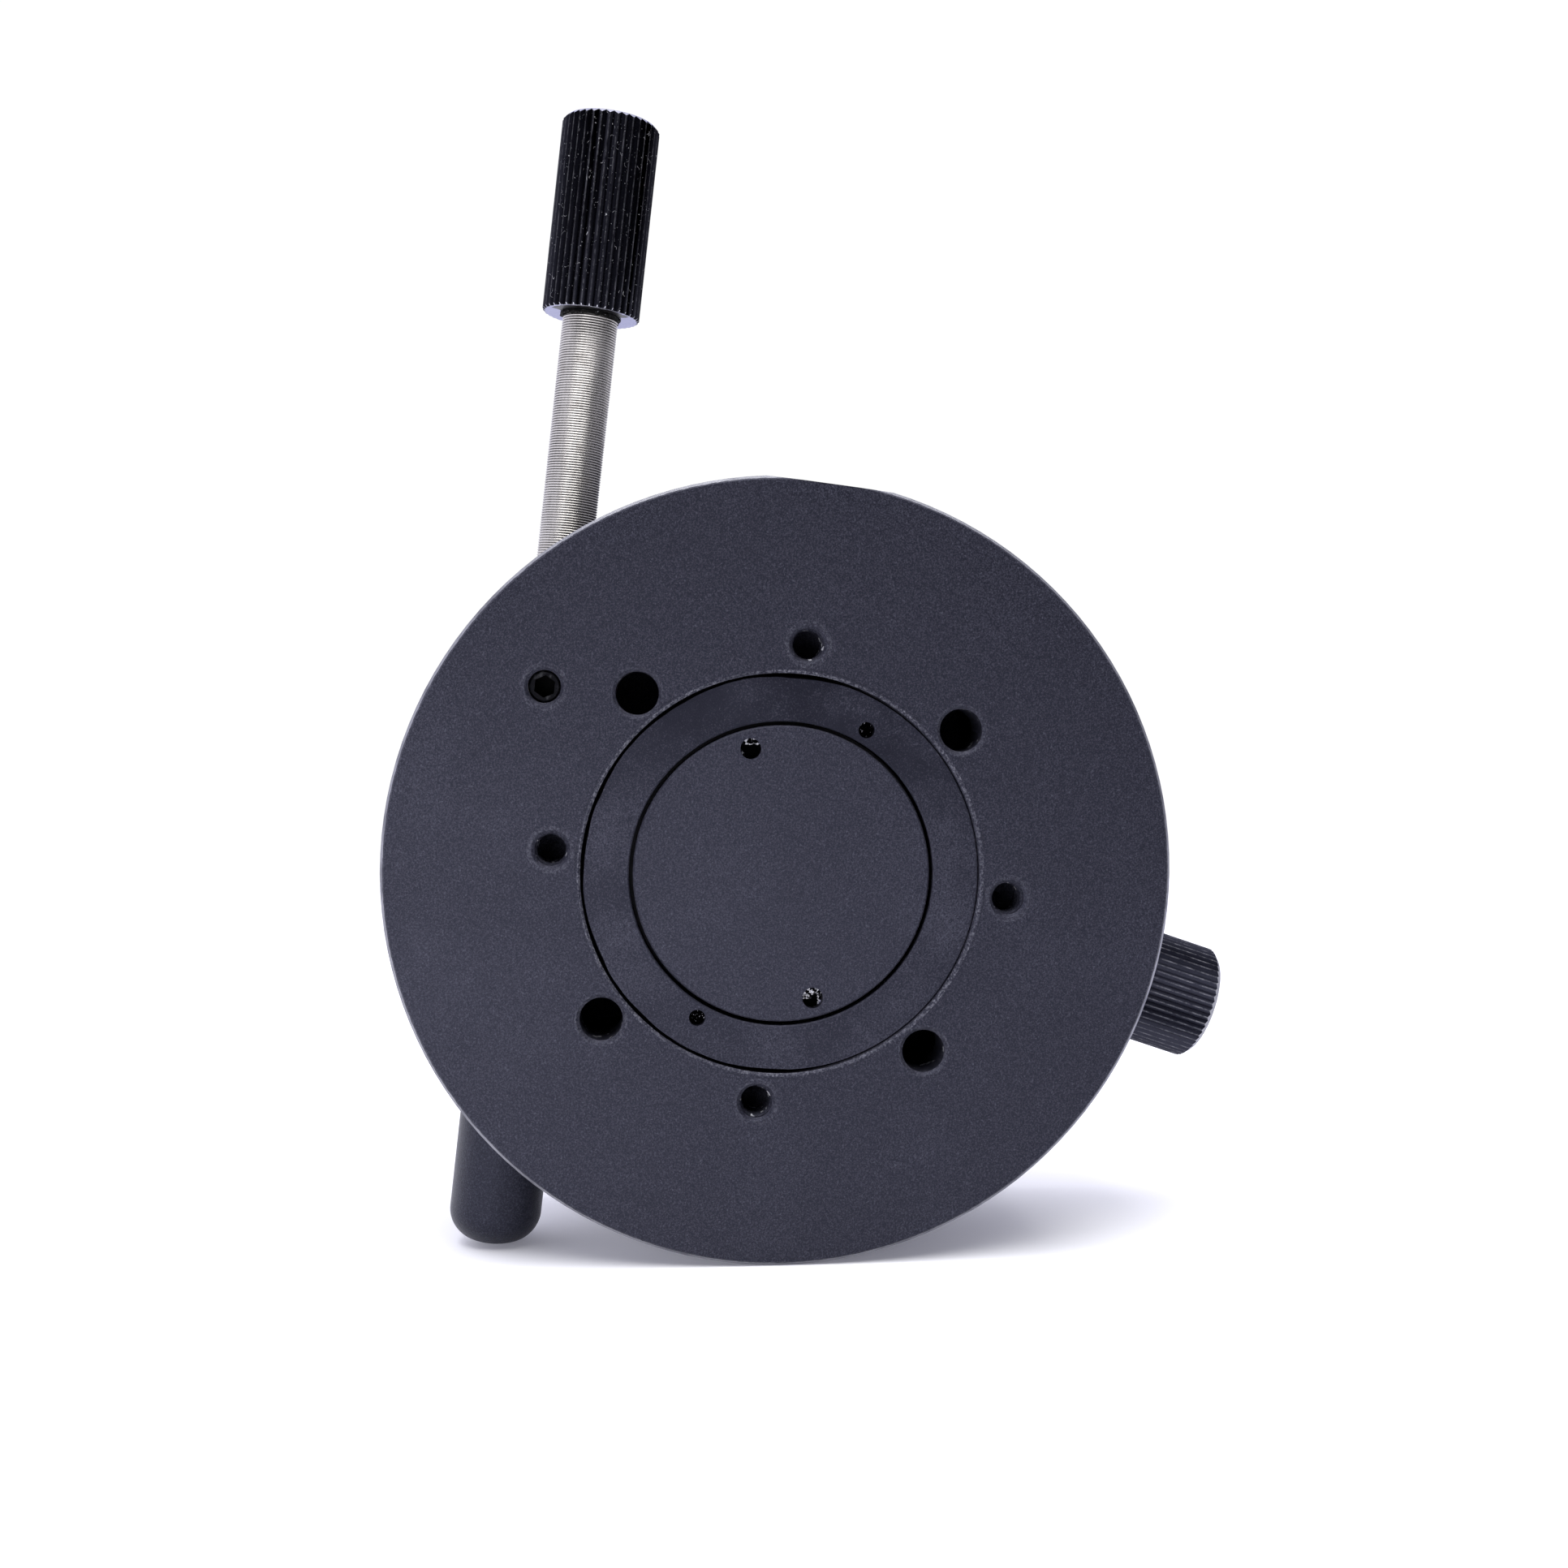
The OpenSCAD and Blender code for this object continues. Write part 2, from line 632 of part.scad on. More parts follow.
module table_screws() {
    color(bare_steel) translate([0, 0, table_top - cap_head_h - cap_recess])
        on_quarters(table_screw_r, 45)
        cap_screw(cap_head_d, cap_head_h, cap_d, table_t - cap_head_h + table_screw_grip, 3);
}

module lower_ball_cage() { color(brass) translate([0, 0, bearing_z]) ball_cage(); }

module lower_balls() { color(steel) translate([0, 0, bearing_z]) balls(); }

module upper_ball_cage() { color(brass) translate([0, 0, upper_z]) ball_cage(); }

module upper_balls() { color(steel) translate([0, 0, upper_z]) balls(); }

// ---- fine screw and plunger ---------------------------------------------------------

module screw_ball() {
    color(steel) on_screw_axis() translate([0, 0, ball_x]) sphere(d = tip_ball_d);
}

// Screw with a cup for its ball and a shank for the knob. Its thread is drawn plain.
module adjuster_screw() {
    color(steel) on_screw_axis() difference() {
        rotate_extrude() polygon([
            [0, screw_x], [screw_d / 2 - end_bevel, screw_x], [screw_d / 2, screw_x + end_bevel],
            [screw_d / 2, knob_x], [shank_d / 2, knob_x],
            [shank_d / 2, knob_x + shank_len], [0, knob_x + shank_len]
        ]);
        translate([0, 0, ball_x]) sphere(d = tip_ball_d + 2 * run_fit);
        translate([0, 0, knob_x + shank_len - thread_depth])
            cylinder(d = cap_d + 2 * seat_fit, h = thread_depth + 1);
    }
}

module adjuster_knob() {
    color(anodise) on_screw_axis() translate([0, 0, knob_x]) difference() {
        knurled_body(knob_d, knob_len, knob_teeth, 0.3, 0.6);
        translate([0, 0, -1])
            cylinder(d = shank_d + 2 * seat_fit, h = shank_len + shank_gap + 1);
        cylinder(d = cap_d + 2 * cap_gap, h = knob_len);
        translate([0, 0, knob_len - knob_bore_depth])
            cylinder(d = cap_head_d + 2 * cap_gap, h = knob_bore_depth + 1);
    }
}

module knob_screw() {
    color(bare_steel) on_screw_axis() translate([0, 0, knob_x + knob_len - knob_bore_depth])
        cap_screw(cap_head_d, cap_head_h, cap_d,
                  shank_inset - knob_bore_depth + knob_screw_grip, 3);
}

// Wire of the spring: rings of points along a helix, joined into one skin.
module plunger_spring() {
    sides = 6;
    per_turn = 14;
    rings = spring_turns * per_turn;
    z0 = spring_x1 + wire_d / 2;
    z1 = spring_x0 - wire_d / 2;
    points = [for (i = [0:rings], j = [0:sides - 1])
        let (a = 360 * i / per_turn, b = 360 * j / sides, r = spring_r + wire_d / 2 * cos(b))
        [r * cos(a), r * sin(a), z0 + (z1 - z0) * i / rings + wire_d / 2 * sin(b)]];
    skin = [for (i = [0:rings - 1], j = [0:sides - 1])
        let (k = (j + 1) % sides)
        [i * sides + j, i * sides + k, (i + 1) * sides + k, (i + 1) * sides + j]];
    ends = [[for (j = [sides - 1:-1:0]) j], [for (j = [0:sides - 1]) rings * sides + j]];
    color(steel) on_plunger_axis() polyhedron(points, concat(skin, ends));
}

// Plunger: round nose, guide that fits the housing, and a spigot inside the spring.
module plunger() {
    r = nose_d / 2;
    guide_r = housing_bore / 2 - run_fit;
    guide_end = guide_x + guide_len;
    color(steel) on_plunger_axis() union() {
        translate([0, 0, plunger_tip_x + r]) sphere(r);
        translate([0, 0, plunger_tip_x + r]) cylinder(r = r, h = guide_x - plunger_tip_x - r);
        translate([0, 0, guide_x]) cylinder(r = guide_r, h = guide_len);
        translate([0, 0, guide_end - eps]) cylinder(r = spring_r - wire_d, h = spigot_len);
    }
}

base();
retaining_ring();
lower_outer_race();
lower_inner_race();
lower_ball_cage();
lower_balls();
outer_spacer();
inner_spacer();
upper_outer_race();
upper_inner_race();
upper_ball_cage();
upper_balls();
spindle();
clamp_disc();
table();
table_screws();
drive_ring();
arm_post();
lock_pad();
lock_screw();
lock_knob();
adjuster_bush();
bush_set_screw();
screw_ball();
adjuster_screw();
adjuster_knob();
knob_screw();
spring_housing();
plunger_spring();
plunger();
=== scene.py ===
# %% [markdown]
# # A manual rotation stage
#
# The stage lies on its base. +Z is its rotation axis, the origin is the centre of the
# base's underside, and the fine screw lies along +X on the -Y side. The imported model
# gives every solid its shape and place, so this script only dresses it: finishes for
# each metal, threads and knurls that are too fine for the solids, the engraved scale,
# and the floor, light and camera.

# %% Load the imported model
import json
import math
import random

import bmesh
import bpy
from mathutils import Matrix, Vector


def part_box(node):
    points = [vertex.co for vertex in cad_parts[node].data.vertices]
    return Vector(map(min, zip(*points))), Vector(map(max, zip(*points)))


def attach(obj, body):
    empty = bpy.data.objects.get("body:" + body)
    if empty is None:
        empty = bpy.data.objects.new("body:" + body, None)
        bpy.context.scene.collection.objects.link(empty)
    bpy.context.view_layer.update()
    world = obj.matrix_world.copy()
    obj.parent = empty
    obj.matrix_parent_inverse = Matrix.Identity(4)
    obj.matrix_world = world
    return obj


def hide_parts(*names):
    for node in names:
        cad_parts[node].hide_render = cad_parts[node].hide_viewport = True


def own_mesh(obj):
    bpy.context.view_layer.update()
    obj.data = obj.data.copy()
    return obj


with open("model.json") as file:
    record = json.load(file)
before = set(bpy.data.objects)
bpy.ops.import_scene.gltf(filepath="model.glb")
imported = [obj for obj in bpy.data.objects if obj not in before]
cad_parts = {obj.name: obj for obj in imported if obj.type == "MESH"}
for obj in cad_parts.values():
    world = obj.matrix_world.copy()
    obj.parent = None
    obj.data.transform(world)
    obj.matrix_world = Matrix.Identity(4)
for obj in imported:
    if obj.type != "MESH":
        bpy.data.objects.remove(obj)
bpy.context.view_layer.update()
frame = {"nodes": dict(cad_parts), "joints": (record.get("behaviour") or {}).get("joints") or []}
scene = bpy.context.scene

# %% [markdown]
# ## Sizes
#
# Pieces are modelled in millimetres, because Blender's tools round off distances that
# are very small, and are scaled to metres at the end. Every size comes from the box of
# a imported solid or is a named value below, so a piece still fits when the model changes.

# %% Sizes read from the solids
MM = 0.001


def box_mm(node):
    """Lowest and highest corner of a solid, in millimetres."""
    low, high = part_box(node)
    return low / MM, high / MM


def joint(name):
    """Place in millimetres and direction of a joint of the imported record."""
    row = next(j for j in frame["joints"] if j["name"] == name)
    return Vector(row["pos_m"]) / MM, Vector(row["axis"]).normalized()


base_low, base_high = box_mm("base")
base_r = -base_low.x
base_h = base_high.z
flat_x = base_high.x
table_low, table_high = box_mm("table")
table_r = table_high.x
table_top = table_high.z
rod_low, rod_high = box_mm("adjuster_screw")
screw_y = (rod_low.y + rod_high.y) / 2
screw_z = (rod_low.z + rod_high.z) / 2
rod_r = (rod_high.z - rod_low.z) / 2
ring_r = box_mm("retaining_ring")[1].x
print("base", base_r, base_h, "table", table_r, table_top, "rod", rod_r, "ring", ring_r)

# %% [markdown]
# ## Places of the holes
#
# Optical tables have holes 25 mm apart. Four plain holes for screws lie at the corners
# of a square of that grid, and four tapped holes lie between them on the same circle.
# The set screw that locks the fine screw's bush has a hole of its own.

# %% Places of the holes
GRID = 25.0
CLEARANCE_R = 3.3
TAPPED_R = 2.5
TAPPED_BEVEL = 0.4
SET_SCREW_X = 24.4


def quarters(radius):
    """Four places at quarter turns on a circle."""
    return [(radius, 0), (0, radius), (-radius, 0), (0, -radius)]


corners = [(x, y) for x in (-GRID, GRID) for y in (-GRID, GRID)]
tapped_places = quarters(GRID * math.sqrt(2))
print("clearance holes:", corners, "tapped holes:", tapped_places)

# %% [markdown]
# ## Wiring a finish
#
# A finish is a tree of shader nodes. Writing masks as sums and products of sockets is
# far easier to read than making a node for each, so `Wire` wraps a socket and gives it
# Python's operators, with `|` for the larger of two masks, and `Tree.node` adds any
# other node in one line. Every pattern of a finish starts from the Object coordinate,
# which stays with the piece when it moves. Noise is fainter on the planes of its own
# grid, where flat faces often lie, so it is slanted.

# %% Wires and finishes
SLANT = (0.6, 0.4, 0.2)


class Wire:
    """A socket whose sums, products and comparisons are Math nodes."""

    def __init__(self, tree, socket):
        self.tree = tree
        self.socket = socket

    def math(self, operation, first, second=0.0):
        """Adds one Math node."""
        return self.tree.node("Math", {"operation": operation}, {0: first, 1: second})

    def __add__(self, other):
        return self.math("ADD", self, other)

    def __radd__(self, other):
        return self.math("ADD", other, self)

    def __sub__(self, other):
        return self.math("SUBTRACT", self, other)

    def __rsub__(self, other):
        return self.math("SUBTRACT", other, self)

    def __mul__(self, other):
        return self.math("MULTIPLY", self, other)

    def __rmul__(self, other):
        return self.math("MULTIPLY", other, self)

    def __gt__(self, other):
        return self.math("GREATER_THAN", self, other)

    def __lt__(self, other):
        return self.math("LESS_THAN", self, other)

    def __or__(self, other):
        return self.math("MAXIMUM", self, other)

    def root(self):
        """Square root."""
        return self.math("SQRT", self)

    def ramp(self, start, end):
        """0 at start and 1 at end, with an S-shaped rise between them."""
        settings = {"interpolation_type": "SMOOTHSTEP"}
        inputs = {"Value": self, "From Min": start, "From Max": end}
        return self.tree.node("MapRange", settings, inputs)

    def blend(self, first, second):
        """Colour first where this wire is 0, and second where it is 1."""
        settings = {"data_type": "RGBA"}
        return self.tree.node("Mix", settings, {0: self, 6: first, 7: second}, output=2)


class Tree:
    """The nodes of a material or of the world, while they are being wired."""

    def __init__(self, owner):
        owner.use_nodes = True
        self.graph = owner.node_tree
        self.graph.nodes.clear()

    def node(self, kind, settings=None, inputs=None, output=0):
        """Adds a node: its settings first, then the values or wires of its sockets."""
        made = self.graph.nodes.new("ShaderNode" + kind)
        for name, value in (settings or {}).items():
            setattr(made, name, value)
        for name, value in (inputs or {}).items():
            if isinstance(value, Wire):
                self.graph.links.new(value.socket, made.inputs[name])
            else:
                made.inputs[name].default_value = value
        return Wire(self, made.outputs[output]) if made.outputs else None

    def split(self, vector):
        """The X, Y and Z of a vector."""
        parts = self.node("SeparateXYZ", None, {0: vector}).socket.node.outputs
        return [Wire(self, part) for part in parts]


class Finish(Tree):
    """A material whose patterns stay with the piece that wears it."""

    def __init__(self, name):
        self.material = bpy.data.materials.new(name)
        super().__init__(self.material)
        self.point = self.node("TexCoord", output="Object")
        self.x, self.y, self.z = self.split(self.point)
        self.slanted = self.node("Mapping", None, {"Vector": self.point, "Rotation": SLANT})

    def noise(self, scale, detail=2.0, roughness=0.5, point=None):
        """Value noise from 0 to 1, with so many bumps to a metre."""
        inputs = {"Vector": point or self.slanted, "Scale": scale, "Detail": detail,
                  "Roughness": roughness}
        return self.node("TexNoise", None, inputs)

    def stretched(self, along, across, along_amount):
        """The Object coordinate squeezed so that a pattern runs along one axis."""
        scale = [across] * 3
        scale[along] = along_amount
        return self.node("Mapping", {"vector_type": "POINT"},
                         {"Vector": self.point, "Scale": scale})

    def bump(self, height, distance, strength=1.0):
        """Normal bent by a height in metres."""
        inputs = {"Height": height, "Distance": distance, "Strength": strength}
        return self.node("Bump", None, inputs)

    def surface(self, **sockets):
        """Ends the tree with a Principled surface. Underscores stand for spaces."""
        inputs = {name.replace("_", " "): value for name, value in sockets.items()}
        self.node("OutputMaterial", None,
                  {"Surface": self.node("BsdfPrincipled", None, inputs)})
        return self.material


# %% [markdown]
# ## Black anodised aluminium
#
# Anodising is a thin, dull, dyed skin on turned metal. It is nearly black by itself, and
# most of what is seen is the room reflected in its rough skin, so the colour stays dark
# and the roughness does the work. Close to, the skin is grainy with fine specks, and it
# has faint cloudy patches from handling. An edge that was cut or rubbed after anodising
# shows bare metal, so each turned piece gets a mask of where that is. Dirt, and painted
# shade in a seam or a hole, is a black colour with the metal value raised, because a
# black metal reflects nothing, while a black paint would still shine.

# %% Anodised skin
SKIN = (0.002, 0.0022, 0.0055, 1)
SKIN_WORN = (0.065, 0.0645, 0.086, 1)
RUBBED = (0.23, 0.23, 0.245, 1)
# Black of dirt, and of painted shade in seams, holes and sockets.
DIRT_AND_SHADE = (0.0008, 0.0008, 0.001, 1)
COOL = (0.735, 0.75, 1.0, 1)


def anodised_skin(finish, tint=SKIN, worn=SKIN_WORN, rough=0.52, smears=0.0, oil_and_shade=0.0):
    """Colour, roughness and normal of a grainy anodised skin, darkened by a given mask of
    painted shade.
    """
    grain = finish.noise(3900, 3.0, 0.8)
    clouds = finish.noise(48, 5.0, 0.62).ramp(0.46, 0.72)
    specks = finish.noise(2500, 1.0, 0.5).ramp(0.6, 0.76)
    pits = finish.noise(1900, 2.0, 0.6).ramp(0.6, 0.7)
    smear = (finish.noise(75, 4.0, 0.6) - 0.5) * smears
    light = clouds * 0.06 + specks * 0.3 + (grain - 0.46) * 2.5 + 0.02 - pits * 0.4 + smear - oil_and_shade
    roughness = rough + (grain - 0.5) * 0.3 - clouds * 0.08
    normal = finish.bump(grain, 0.00006, 1.0)
    return light.blend(tint, worn), roughness, normal


def radius_from(finish, x, y):
    """Distance in metres from an upright line through a place in millimetres."""
    across = finish.x - x * MM
    up = finish.y - y * MM
    return (across * across + up * up).root()


def axis_distance(finish):
    """Distance from the rotation axis, in metres."""
    return (finish.x * finish.x + finish.y * finish.y).root()


def band(distance, low, high):
    """1 between two distances in millimetres, and 0 outside them."""
    return (distance > low * MM) * (distance < high * MM)


def closed_side(finish):
    """1 on the +Y side, where the painted shade round the ring fades, and 0 on the other side.
    """
    return finish.y.ramp(4 * MM, 26 * MM)


# %% [markdown]
# ## The base's underside
#
# The base is the piece that gets handled. Its lower rim is rubbed bare in a thin line,
# where it slides on tables. The holes were drilled after anodising, so each has a
# rough bright lip, and so has the recess for the ring. The seam round the ring is
# painted black: painted shade, faint towards +Y.

# %% Finish of the base
CHAMFER = 0.65
RUB_WIDTH = 0.42
UNDERSIDE = 2.0
RING_LIP = (0.15, 0.75)
HOLE_LIP = 0.75
RING_SEAM_SHADE = (-0.2, 0.26)
RING_SCRATCH = (1.0, 1.1)
GLINT_HEIGHTS = (1.0, 7.0)
BURR = (0.24, 0.24, 0.28, 1)
HOLE_BURR = (0.22, 0.22, 0.26, 1)
BARE_METAL = (0.5, 0.5, 0.54, 1)
spots = [(x, y, CLEARANCE_R) for x, y in corners]
spots += [(x, y, TAPPED_R + TAPPED_BEVEL) for x, y in tapped_places + [(SET_SCREW_X, screw_y)]]


def anodised_base():
    """Finish of the base: a rubbed lower rim, and painted shade in the gap round the ring."""
    finish = Finish("anodised_base")
    colour, roughness, normal = anodised_skin(finish)
    out = axis_distance(finish)
    ragged = finish.noise(900, 3.0, 0.6) - 0.5
    wavy = finish.noise(90, 3.0, 0.6) - 0.5
    rim = (out + ragged * 0.3 * MM > (base_r - RUB_WIDTH) * MM) * (finish.z < CHAMFER * MM)
    rub = finish.noise(130, 3.0, 0.6).ramp(0.25, 0.6) * 0.6 + 0.4
    colour = (rim * rub).blend(colour, RUBBED)
    low = finish.z < UNDERSIDE * MM
    lip = band(out + ragged * 0.25 * MM, *(ring_r + edge for edge in RING_LIP)) * low
    burr = finish.noise(2400, 3.0, 0.7).ramp(0.42, 0.72)
    worn = finish.noise(110, 2.0, 0.6).ramp(0.35, 0.65) * 0.5 + 0.5
    colour = (lip * burr * worn * 0.62).blend(colour, BURR)
    away = [(radius_from(finish, x, y) + ragged * 0.5 * MM, r) for x, y, r in spots]
    lips = sum(band(distance, r, r + HOLE_LIP) for distance, r in away)
    inside = sum(distance < r * MM for distance, r in away)
    chips = finish.noise(480, 2.0, 0.6).ramp(0.6, 0.64)
    glints = inside * band(finish.z, *GLINT_HEIGHTS) * chips
    colour = (lips * burr * worn * low * 0.22).blend(colour, HOLE_BURR)
    colour = glints.blend(colour, BARE_METAL)
    # Black band round the ring's recess: painted shade, faint towards +Y.
    seam_shade = band(out, *(ring_r + edge for edge in RING_SEAM_SHADE))
    seam_shade = seam_shade * low * (1 - closed_side(finish) * 0.8)
    edge = out + ragged * 0.3 * MM + wavy * 0.2 * MM
    scratch = band(edge, *(ring_r + side for side in RING_SCRATCH)) * low * (wavy > 0.02)
    colour = (seam_shade + scratch * 0.8).blend(colour, DIRT_AND_SHADE)
    return finish.surface(Base_Color=colour, Roughness=roughness - rim * 0.12,
                          Metallic=rim * 0.7 | seam_shade | glints * 0.7, Normal=normal,
                          Specular_IOR_Level=0.4, Specular_Tint=COOL)


base_finish = anodised_base()
print("lips round", len(spots), "holes")

# %% [markdown]
# ## Disc, ring and the other anodised pieces
#
# The disc and the ring are turned by a pin spanner, whose holes go past the recessed
# faces. They are painted black inside, which is painted shade, with bright chips where
# the drill and the spanner cut. The ring is also painted darker in patches towards +X:
# painted shade.

# %% Finishes of the disc, the ring and the rest
SPANNER_HOLES = 1.6
CHIPS = (0.6, 0.6, 0.64, 1)
HOUSING_WORN = (0.05, 0.052, 0.07, 1)
SEAM_SHADE_WIDTH = 0.26


def anodised_disc():
    """Finish of the clamp disc, with painted shade and bare drill marks in its spanner holes."""
    finish = Finish("anodised_disc")
    colour, roughness, normal = anodised_skin(finish)
    # Black inside the spanner holes, past this depth: painted shade.
    hole_shade = finish.z > SPANNER_HOLES * MM
    chips = finish.noise(1500, 3.0, 0.75).ramp(0.5, 0.56)
    colour = hole_shade.blend(colour, DIRT_AND_SHADE)
    chips = chips * finish.noise(420, 1.0, 0.5).ramp(0.44, 0.5)
    colour = (hole_shade * chips).blend(colour, CHIPS)
    return finish.surface(Base_Color=colour, Roughness=roughness - hole_shade * 0.2,
                          Normal=normal, Metallic=hole_shade, Specular_IOR_Level=0.46,
                          Specular_Tint=COOL)


def anodised_ring():
    """Finish of the retaining ring, with painted shade in its outer gap and spanner holes, and
    darker patches of painted shade towards +X.
    """
    finish = Finish("anodised_ring")
    # Darker patches towards +X on the ring: painted shade.
    oil_and_shade = finish.x.ramp(6 * MM, 27 * MM) * finish.noise(60, 4.0, 0.6).ramp(0.3, 0.62)
    colour, roughness, normal = anodised_skin(finish, smears=0.9, oil_and_shade=oil_and_shade * 0.35)
    out = axis_distance(finish)
    wavy = finish.noise(60, 3.0, 0.6) - 0.5
    # Black band at the ring's outer edge: painted shade, faint towards +Y.
    seam_shade = out + wavy * 1.3 * MM > (ring_r - SEAM_SHADE_WIDTH) * MM
    seam_shade = seam_shade * (1 - closed_side(finish) * 0.8)
    # Black inside the spanner holes: painted shade.
    hole_shade = finish.z > SPANNER_HOLES * MM
    glints = finish.noise(2400, 2.0, 0.7).ramp(0.62, 0.68)
    colour = (seam_shade | hole_shade).blend(colour, DIRT_AND_SHADE)
    colour = (hole_shade * glints).blend(colour, BARE_METAL)
    return finish.surface(Base_Color=colour, Roughness=roughness, Normal=normal,
                          Metallic=seam_shade | hole_shade | oil_and_shade * 0.28, Specular_IOR_Level=0.4,
                          Specular_Tint=COOL)


def anodised_plain(name, tint=SKIN, worn=SKIN_WORN, rough=0.52, shine=0.4):
    """Finish of an anodised piece with no bare edge."""
    finish = Finish(name)
    colour, roughness, normal = anodised_skin(finish, tint, worn, rough)
    return finish.surface(Base_Color=colour, Roughness=roughness, Normal=normal,
                          Specular_IOR_Level=shine, Specular_Tint=COOL)


ring_finish = anodised_ring()
disc_finish = anodised_disc()
table_finish = anodised_plain("anodised_table")
housing_finish = anodised_plain("anodised_housing", SKIN, HOUSING_WORN, 0.4, 0.3)
inner_finish = anodised_plain("anodised_inner")
print("anodised finishes:", len(bpy.data.materials))

# %% [markdown]
# ## Steel, brass and paint
#
# Turned steel has fine rings round its axis, which stretch a highlight across them. The
# bearing races are ground and nearly mirrors, the small screws are blackened by heat and
# oil, and the bush and the pad are brass. The scale is filled with white paint.

# %% Bare metals and paint
def darker(colour, share):
    """A colour times a share."""
    return tuple(part * share for part in colour[:3]) + (1,)


def turned_metal(name, colour, rough, axis=2):
    """Bare metal with fine rings round one axis."""
    finish = Finish(name)
    rings = finish.noise(60, 2.0, 0.5, finish.stretched(axis, 1.0, 90.0))
    tarnish = finish.noise(150, 3.0, 0.6)
    tone = (tarnish * 0.25).blend(colour, darker(colour, 0.6))
    return finish.surface(Base_Color=tone, Metallic=1.0,
                          Roughness=rough + (rings - 0.5) * 0.2 + tarnish * 0.08,
                          Normal=finish.bump(rings, 0.000008, 0.5))


def blackened_steel(name, shade_from=1.0, dark=(0.02, 0.02, 0.022, 1),
                    light=(0.09, 0.085, 0.08, 1), shine=0.5):
    """Finish of the small screws; above a height in metres it is painted black as painted shade
    in the hex socket.
    """
    finish = Finish(name)
    patches = finish.noise(900, 3.0, 0.6)
    colour = patches.ramp(0.5, 0.75).blend(dark, light)
    # Black above the given height: painted shade in the set screw's hex socket.
    socket_shade = finish.z > shade_from
    colour = socket_shade.blend(colour, DIRT_AND_SHADE)
    return finish.surface(Base_Color=colour, Metallic=0.75 - socket_shade * 0.75,
                          Roughness=0.34 + patches * 0.2 + socket_shade * 0.3,
                          Normal=finish.bump(patches, 0.00001, 0.5),
                          Specular_IOR_Level=shine)


def paint(name, colour):
    """Finish of the paint in the scale's lines and figures."""
    finish = Finish(name)
    wear = finish.noise(2600, 2.0, 0.6).ramp(0.62, 0.75)
    tone = (wear * 0.35).blend(colour, darker(colour, 0.55))
    return finish.surface(Base_Color=tone, Roughness=0.55 + wear * 0.1)


bearing_finish = turned_metal("bearing_steel", (0.66, 0.66, 0.67, 1), 0.16)
spindle_finish = turned_metal("turned_steel", (0.5, 0.5, 0.51, 1), 0.34)
brass_finish = turned_metal("turned_brass", (0.72, 0.52, 0.24, 1), 0.3)
cage_finish = turned_metal("oiled_steel", (0.03, 0.03, 0.032, 1), 0.4)
black_finish = blackened_steel("blackened_steel")
# The set screw is black from 1.4 mm up, in its hex socket: painted shade.
set_screw_finish = blackened_steel("shaded_set_screw", 1.4 * MM, (0.008, 0.008, 0.01, 1),
                                   (0.05, 0.05, 0.055, 1), 0.05)
white_paint = paint("scale_paint", (0.82, 0.82, 0.8, 1))
print("finishes:", len(bpy.data.materials))

# %% [markdown]
# ## Finishes on the solids
#
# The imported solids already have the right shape, so most of them only need their finish
# set on the material slots of their objects.

# %% Dress the solids
finish_of = {
    "base": base_finish,
    "retaining_ring": ring_finish,
    "clamp_disc": disc_finish,
    "table": table_finish,
    "drive_ring": inner_finish,
    "spring_housing": housing_finish,
    "adjuster_bush": brass_finish,
    "lock_pad": brass_finish,
    "lower_ball_cage": cage_finish,
    "upper_ball_cage": cage_finish,
    "spindle": spindle_finish,
    "arm_post": spindle_finish,
    "plunger": spindle_finish,
    "plunger_spring": spindle_finish,
    "table_screws": black_finish,
    "bush_set_screw": set_screw_finish,
    "knob_screw": black_finish,
    "lock_screw": black_finish,
    "adjuster_screw": spindle_finish,
    "adjuster_knob": inner_finish,
    "lock_knob": inner_finish,
}
for name, solid in frame["nodes"].items():
    for slot in solid.material_slots:
        slot.material = finish_of.get(name, bearing_finish)
print("bare bearing steel:", sorted(set(frame["nodes"]) - set(finish_of)))

# %% [markdown]
# ## From a bmesh to a piece
#
# A bmesh is built about its own axis, in millimetres. `put` merges doubles, turns the
# faces outwards, places the mesh, scales it to metres and hands it to its body. The
# object itself stays at the origin. Edges sharper than 35 degrees stay crisp.

# %% Piece maker
CRISP = math.radians(35)
MERGE = 0.0004


def put(name, bm, place, finish, body, replaces=(), crisp=CRISP):
    """Makes a riding piece of a bmesh that was drawn in millimetres."""
    bmesh.ops.remove_doubles(bm, verts=bm.verts, dist=MERGE)
    bmesh.ops.recalc_face_normals(bm, faces=bm.faces)
    bmesh.ops.transform(bm, matrix=Matrix.Scale(MM, 4) @ place, verts=bm.verts)
    mesh = bpy.data.meshes.new(name)
    bm.to_mesh(mesh)
    bm.free()
    mesh.shade_smooth()
    mesh.set_sharp_from_angle(angle=crisp)
    mesh.materials.append(finish)
    piece = bpy.data.objects.new(name, mesh)
    scene.collection.objects.link(piece)
    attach(piece, body)
    if replaces:
        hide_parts(*replaces)
    print(name, "faces:", len(mesh.polygons))
    return piece


def along(axis, at):
    """Matrix that turns +Z to a direction and moves the origin to a point."""
    return Matrix.Translation(at) @ axis.to_track_quat("Z", "Y").to_matrix().to_4x4()


screw_place = along(Vector((1, 0, 0)), Vector((0, screw_y, screw_z)))
lock_at, lock_axis = joint("lock_turn")
lock_place = along(lock_axis, Vector((0, 0, lock_at.z)))

# %% [markdown]
# ## Helical threads
#
# A thread is one small V carried round a helix. `spin` does just that when it is given a
# step along the axis: the V's last point lands on the first point of the next turn, so
# merging doubles welds the turns into one skin. The two open ends are drawn to a point
# on the axis, which closes the skin.

# %% Thread maker
def island(vert):
    """All faces that hang together with one vertex."""
    found, ahead = set(), [vert]
    while ahead:
        for face in ahead.pop().link_faces:
            if face not in found:
                found.add(face)
                ahead.extend(face.verts)
    return found


